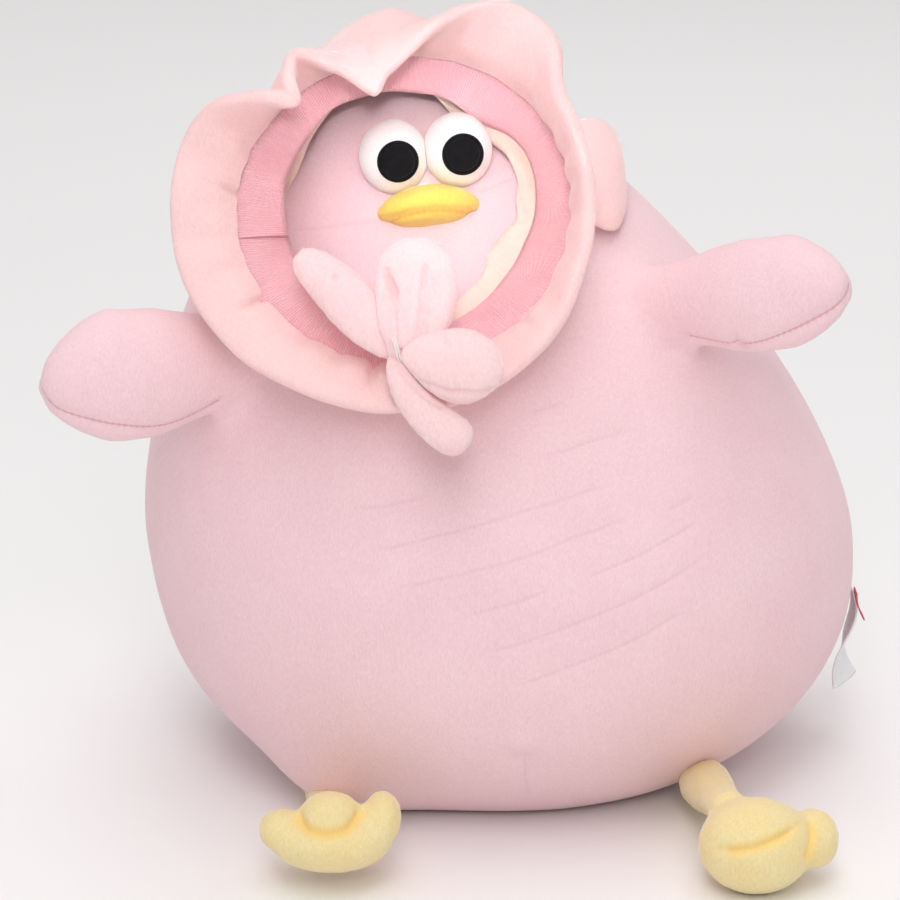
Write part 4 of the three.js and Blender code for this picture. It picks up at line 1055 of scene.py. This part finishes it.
# Shares of its length: the tall end, the narrow waist after it and the puff of the end that shows
END_SPREAD, END_EXTRA = 0.09, 0.012
WAIST_AT, WAIST_SPREAD, WAIST_CUT = 0.21, 0.10, 0.42
PUFF_AT, PUFF_SPREAD, PUFF_LIFT = 0.13, 0.09, 0.004
FRILL_GATHERS, FRILL_GATHER_DEPTH, HEM_WAVE, SMOOTH_SHARE = 21, 0.0016, 0.0012, 0.30
FRILL_THIN, FRILL_PLUMP, FRILL_ROUND, FRILL_CLOSE = 0.0002, 0.0026, 0.2, 0.03


def quarter_round(value):
    """From 0 to 1 along a quarter of a circle."""
    return math.sqrt(max(0.0, 1 - (1 - min(1.0, value)) ** 2))


def frill_middle(u, v):
    azimuth = FRILL_START + (FRILL_END - FRILL_START) * u
    tuck = quarter_round(min(u, 1 - u) * (FRILL_END - FRILL_START) / FRILL_ROUND)
    waist = bell(u - WAIST_AT, WAIST_SPREAD)
    puff = bell(u - PUFF_AT, PUFF_SPREAD)
    height = FRILL_HEIGHT * (1 - WAIST_CUT * waist) + END_EXTRA * bell(u, END_SPREAD)
    z = CROWN_HEM + FRILL_OVERLAP + PUFF_LIFT * puff - height * v * (0.45 + 0.55 * tuck)
    beat = 2 * math.pi * FRILL_GATHERS * u + 1.3 * math.sin(2 * math.pi * 5 * u)
    beyond = v * (1 - math.exp(-((u / SMOOTH_SHARE) ** 4)))
    z -= HEM_WAVE * math.sin(beat + 0.9) * beyond
    belly = math.sin(math.pi * min(1, max(0, v)))
    off = FRILL_OFF_HEAD + (FRILL_BELLY + FRILL_PUFF * puff) * belly
    off += FRILL_GATHER_DEPTH * (1 + math.sin(beat)) * beyond
    return body_point(z, azimuth) + body_normal(z, azimuth) * off


def frill_half(u, v):
    plump = min(1, 0.3 + v / 0.5) * math.sqrt(share(v, 0.08)) * math.sqrt(max(0.0, 1 - v**6))
    return (FRILL_THIN + FRILL_PLUMP * plump) * quarter_round(min(u, 1 - u) / FRILL_CLOSE)


frill = folded_roll("nape_frill_roll", 440, 24, frill_middle, frill_half)
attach(frill, "bonnet")
dress(frill, bonnet_velour, "bonnet_nape_frill")

# Bow
# Straps of fuzzy plush tied at the chin with a thread: a tail and a folded loop above the knot, a puffy
# loop and a tail below it. Each is a soft stuffed tube, pinched where the thread holds it.
BOW_DROP, BOW_SHIFT = 0.071, -0.013
KNOT_PLACE, KNOT_HOLD, STRAP_VOXEL, TUFT_HEIGHT = (-0.0008, 0.0072), 0.007, 0.0014, 0.00025
# For each strap: level over the ring, flatness, and strands of rows (across and up from the bow's middle,
# radius, rise towards the viewer, in millimetres)
STRAPS = {
    "upper_tail": (0.0305, 0.60, [[
        (-1.5, 7, 4.2, 2), (-6, 11.5, 6.8, 1), (-11, 18, 9.6, 0), (-17.5, 26, 10.8, 0), (-25, 34.5, 10.4, 0),
        (-32, 41, 8.8, 0), (-37.5, 45.5, 7.2, 0), (-40.5, 48, 3.4, 0),
    ]]),
    "upper_loop": (0.0375, 0.74, [
        [
            (-1.2, 8, 3.2, -1), (-4.4, 16, 3.8, -2), (-5.6, 26, 3.6, -2.5), (-5, 35, 4.2, -2), (-1, 43, 7.4, 0),
            (7, 45.4, 8.2, 1), (14.5, 42.5, 8.6, -1), (17, 34, 7.2, -3), (16, 24, 7.4, -4), (12.5, 15, 6.6, -3),
            (7, 9, 4.8, -1),
        ],
        [(0.8, 7.5, 4.2, 1), (4, 16, 6.2, 3), (5, 27, 6.4, 3.6), (6, 38, 7, 2.6), (7, 45, 6, 1)],
    ]),
    "lower_loop": (0.0385, 0.58, [[
        (1.5, 6, 3.6, 0), (8, 4.6, 8.6, 0), (17, 2, 13.8, 0), (25, 0, 16, 0), (32.5, -1.8, 14.2, 0),
        (38, -3.5, 9.8, 0), (41.2, -4.6, 4, 0),
    ]]),
    "lower_tail": (0.0345, 0.54, [[
        (-1.2, 5, 3.4, 3), (0.2, -3, 5.4, 1), (4.6, -11, 6.8, 0), (11, -18.5, 7.8, 0), (17.5, -24, 8.8, 0),
        (23.5, -28.2, 8.6, 0), (27, -30.8, 6.6, 0), (28.2, -31.6, 2.6, 0),
    ]]),
}
# Folds pressed into a strap: points across and up from the bow's middle, width, depth
STRAP_FOLDS = {
    "upper_tail": [([(-26, 36.6), (-25.5, 37)], 1.8, 2.2)],
    "upper_loop": [
        ([(-5, 38), (-3, 34), (-1.3, 28.5)], 1.2, 4.0), ([(-1.3, 28.5), (-1.5, 20), (-0.9, 10)], 0.9, 1.4),
        ([(11.4, 39), (10.6, 30), (10.2, 20.5), (10.8, 12)], 1.1, 2.4), ([(11.6, 21.6), (12, 21)], 1.5, 1.6),
    ],
    "lower_loop": [
        ([(15.5, 12), (17.7, 10), (19.7, 5.8)], 1.2, 1.3),
        ([(4.6, -2.8), (8.2, -7), (20.2, -11.6), (31.7, -12.2), (38.5, -10)], 0.9, 1.5),
    ],
    "lower_tail": [([(2, -2), (9, -10.5), (17, -16)], 1.2, 1.2)],
}
bow_plush = pile_cloth(
    "bow_plush", linear(246, 213, 214), linear(243, 202, 204), pile=0.0008, sheen=0.8, grain=1100, mottle=70
)
bow = bonnet @ Matrix.Translation((BOW_SHIFT, -BOW_DROP, 0))
level_in_bow = Matrix.Rotation(-BONNET_ROLL, 4, "Z")
for name, (level, flatness, strands) in STRAPS.items():
    line = bpy.data.curves.new(name, "CURVE")
    line.dimensions = "3D"
    line.bevel_depth, line.bevel_resolution, line.use_fill_caps = 0.001, 10, True
    for rows in strands:
        strand = line.splines.new("NURBS")
        strand.points.add(len(rows) - 1)
        strand.use_endpoint_u, strand.order_u, strand.resolution_u = True, 3, 10
        for point, (x, y, radius, rise) in zip(strand.points, rows):
            point.co = (x / 1000, y / 1000, rise / 1000, 1)
            point.radius = radius
    tube = placed(name, line)
    graph = bpy.context.evaluated_depsgraph_get()
    graph.update()
    mesh = bpy.data.meshes.new_from_object(tube.evaluated_get(graph), depsgraph=graph)
    bpy.data.objects.remove(tube)
    strap = placed(f"bow_{name}_strap", mesh)
    skin_over(strap, STRAP_VOXEL)
    ease(strap, 5)
    co = points(strap)
    co[:, 2] *= flatness
    move_to(strap, co)
    knot = np.hypot(co[:, 0] - KNOT_PLACE[0], co[:, 1] - KNOT_PLACE[1]) < KNOT_HOLD
    stuff(strap, pressure=4, cap=0.0016, held=knot, frames=12)
    refine(strap)
    co, out = points(strap), normals(strap)
    tuft = np.array([noise.noise(Vector(p) * 420) + 0.6 * noise.noise(Vector(p) * 1100) for p in co])
    push = TUFT_HEIGHT * tuft
    for line, width, depth in STRAP_FOLDS[name]:
        apart, where = from_line(co[:, :2] * 1000, line)
        push -= 0.001 * depth * bell(apart, width) * np.clip(out[:, 2] * 3, 0, 1)
    move_to(strap, co + out * push[:, None])
    strap.data.transform(bow @ Matrix.Translation((0, 0, level)) @ level_in_bow)
    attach(strap, "bow")
    dress(strap, bow_plush, f"bow_{name}")

# Knot and thread
# The straps are pinched together in the middle and bound with a few turns of white thread. The same
# thread ties the bow to the bonnet under the chin, and the bow turns a little on it.
KNOT_HALF, KNOT_LEVEL, KNOT_PLEATS, PLEAT_SHARE = (0.0032, 0.0044, 0.0080), 0.0335, 7, 0.08
THREAD_RADIUS, THREAD_LOOP, THREAD_LEVEL, THREAD_LONG = 0.00034, 0.0050, 0.0345, 1.9
THREAD_LAYS, THREAD_TILT, THREAD_TURN = (-0.0005, 0.0004), 0.12, math.radians(6)
knot_form = bmesh.new()
bmesh.ops.create_uvsphere(knot_form, u_segments=48, v_segments=32, radius=1)
for vert in knot_form.verts:
    pleat = 1 + PLEAT_SHARE * math.sin(KNOT_PLEATS * math.atan2(vert.co.y, vert.co.x))
    x, y, z = (place * half for place, half in zip(vert.co, KNOT_HALF))
    vert.co = Vector((x * pleat, y * pleat, KNOT_LEVEL + z))
pinch = bow @ level_in_bow @ Matrix.Translation((*KNOT_PLACE, 0)) @ level_in_bow.inverted()
knot_form.transform(pinch)
knot = made("bow_knot", knot_form)
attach(knot, "bow")
dress(knot, bow_plush, "bow_middle")

thread_white = pile_cloth(
    "thread", linear(250, 246, 244), linear(240, 232, 230), pile=0.0001, sheen=0.3, grain=4000, mottle=400
)
turns = bmesh.new()
for lay in THREAD_LAYS:
    ring = bmesh.ops.create_circle(turns, segments=8, radius=THREAD_RADIUS)["verts"]
    start = (lay, THREAD_LOOP, 0)
    bmesh.ops.translate(turns, vec=start, verts=ring)
    edges = list({e for v in ring for e in v.link_edges})
    bmesh.ops.rotate(turns, cent=start, matrix=Matrix.Rotation(THREAD_TILT, 3, "Y"), verts=ring)
    bmesh.ops.spin(
        turns, geom=ring + edges, axis=(1, 0.06, 0), cent=(0, 0, 0), steps=48, angle=2 * math.pi, use_merge=True
    )
bmesh.ops.remove_doubles(turns, verts=turns.verts, dist=1e-6)
bmesh.ops.recalc_face_normals(turns, faces=turns.faces)
bmesh.ops.scale(turns, vec=(1, 1, THREAD_LONG), verts=turns.verts)
lie = pinch @ Matrix.Translation((0, 0, THREAD_LEVEL)) @ Matrix.Rotation(THREAD_TURN, 4, "Z")
turns.transform(lie)
thread = made("bow_tie_thread", turns)
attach(thread, "bow")
dress(thread, thread_white, "bow_thread")

# Labels
# A bare white satin ribbon, doubled and sewn into the left side seam, that hangs and curls, with the stub
# of a narrow pink ribbon beside it.
LABEL_WIDTH, LABEL_LENGTH, LABEL_THICKNESS, LABEL_ROUGHNESS = 0.024, 0.05, 0.0008, 0.5
LABEL_TURN, LABEL_CURL, LABEL_BULGE, LABEL_INSET = math.radians(32), 0.003, 0.0012, 0.0006
STUB_PLACE, STUB_WIDTH, STUB_LENGTH = Vector((0.0010, -0.0135, -0.0004)), 0.009, 0.0128
STUB_BEND, STUB_THICKNESS = 0.004, 0.0006
woven = {"pile": 0.00008, "sheen": 0.1, "grain": 3200, "mottle": 160}
satin = pile_cloth("label_satin", linear(246, 246, 247), linear(236, 236, 240), **woven)
satin.node_tree.nodes["Principled BSDF"].inputs["Roughness"].default_value = LABEL_ROUGHNESS
pink_ribbon = pile_cloth("stub_ribbon", linear(214, 96, 112), linear(200, 84, 102), **woven)
seam_top = Vector(joints["label_swing"]["pos_m"])


def label_middle(u, v):
    across, turn = (u - 0.5) * LABEL_WIDTH, LABEL_TURN * v * v
    curl = LABEL_CURL * math.sin(2 * math.pi * v) + LABEL_BULGE * math.sin(math.pi * u) * v
    out = curl + across * math.sin(turn) - LABEL_INSET * (1 - v)
    return seam_top + Vector((out, across * math.cos(turn), -LABEL_LENGTH * v))


def stub_middle(u, v):
    return seam_top + STUB_PLACE + Vector((STUB_BEND * v * v, (u - 0.5) * STUB_WIDTH, -STUB_LENGTH * v))


label = flat_strip("care_label_ribbon", 24, 48, label_middle, LABEL_THICKNESS)
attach(label, "label")
dress(label, satin, "care_label")
stub = flat_strip("ribbon_stub", 8, 14, stub_middle, STUB_THICKNESS)
stub.data.materials.append(pink_ribbon)
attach(stub, "label")

# Studio
# A pale floor under soft light from large lamps above and in front, a narrow lamp on the face, and the
# photograph's camera, which looks down at the toy a little.
CAMERA_LOOK, CAMERA_DISTANCE, CAMERA_PITCH = Vector((-0.025, 0, 0.143)), 1.25, math.radians(18)
SENSOR_WIDTH, FOCAL_LENGTH = 36, 111.1
FLOOR_LEVEL, FLOOR_SIZE, FLOOR_ROUGHNESS = -0.0004, 5, 0.9
SUN_POWER, SUN_ANGLE, SKY_COLOUR, SKY_POWER = 0.95, math.radians(50), (1, 0.985, 0.98, 1), 0.45
TOY_MIDDLE, FACE_MIDDLE, WIDE = Vector((0, 0, 0.17)), Vector((-0.029, -0.06, 0.285)), 180
# Lamps: name, place, size, power, spread in degrees, point it looks at
LAMPS = [
    ("key", (-0.12, -1.0, 1.4), 0.55, 4.0, WIDE, TOY_MIDDLE),
    ("fill", (1.1, -1.0, 0.8), 1.3, 0.2, WIDE, TOY_MIDDLE),
    ("front", (0.0, -1.25, 0.9), 0.4, 3.6, WIDE, TOY_MIDDLE),
    ("back", (0.3, 1.2, 1.6), 2.0, 4, WIDE, TOY_MIDDLE),
    ("face", (-0.03, -1.0, 0.62), 0.06, 0.022, 11, FACE_MIDDLE),
]
ground = bmesh.new()
bmesh.ops.create_grid(ground, x_segments=8, y_segments=8, size=FLOOR_SIZE)
bmesh.ops.translate(ground, vec=(0, 0, FLOOR_LEVEL), verts=ground.verts)
floor = made("studio_floor", ground)
pale = bpy.data.materials.new("studio_floor")
pale.use_nodes = True
surface = pale.node_tree.nodes["Principled BSDF"].inputs
surface["Base Color"].default_value = linear(246, 245, 245)
surface["Roughness"].default_value = FLOOR_ROUGHNESS
floor.data.materials.append(pale)
studio = bpy.context.scene
for name, place, size, power, spread, aim in LAMPS:
    lamp = bpy.data.lights.new(name, "AREA")
    lamp.size, lamp.energy, lamp.spread = size, power, math.radians(spread)
    light = placed(name, lamp)
    light.location = place
    light.rotation_euler = (aim - Vector(place)).to_track_quat("-Z", "Y").to_euler()
overhead = bpy.data.lights.new("overhead", "SUN")
overhead.energy, overhead.angle = SUN_POWER, SUN_ANGLE
placed("overhead", overhead)
studio.world = bpy.data.worlds.new("studio")
studio.world.use_nodes = True
sky = studio.world.node_tree.nodes["Background"].inputs
sky["Color"].default_value, sky["Strength"].default_value = SKY_COLOUR, SKY_POWER
studio.view_settings.view_transform = "Standard"
lens = bpy.data.cameras.new("photo")
lens.sensor_width, lens.lens = SENSOR_WIDTH, FOCAL_LENGTH
camera = placed("photo", lens)
back = Vector((0, -math.cos(CAMERA_PITCH), math.sin(CAMERA_PITCH)))
camera.location = CAMERA_LOOK + back * CAMERA_DISTANCE
camera.rotation_euler = (math.pi / 2 - CAMERA_PITCH, 0, 0)
studio.camera = camera
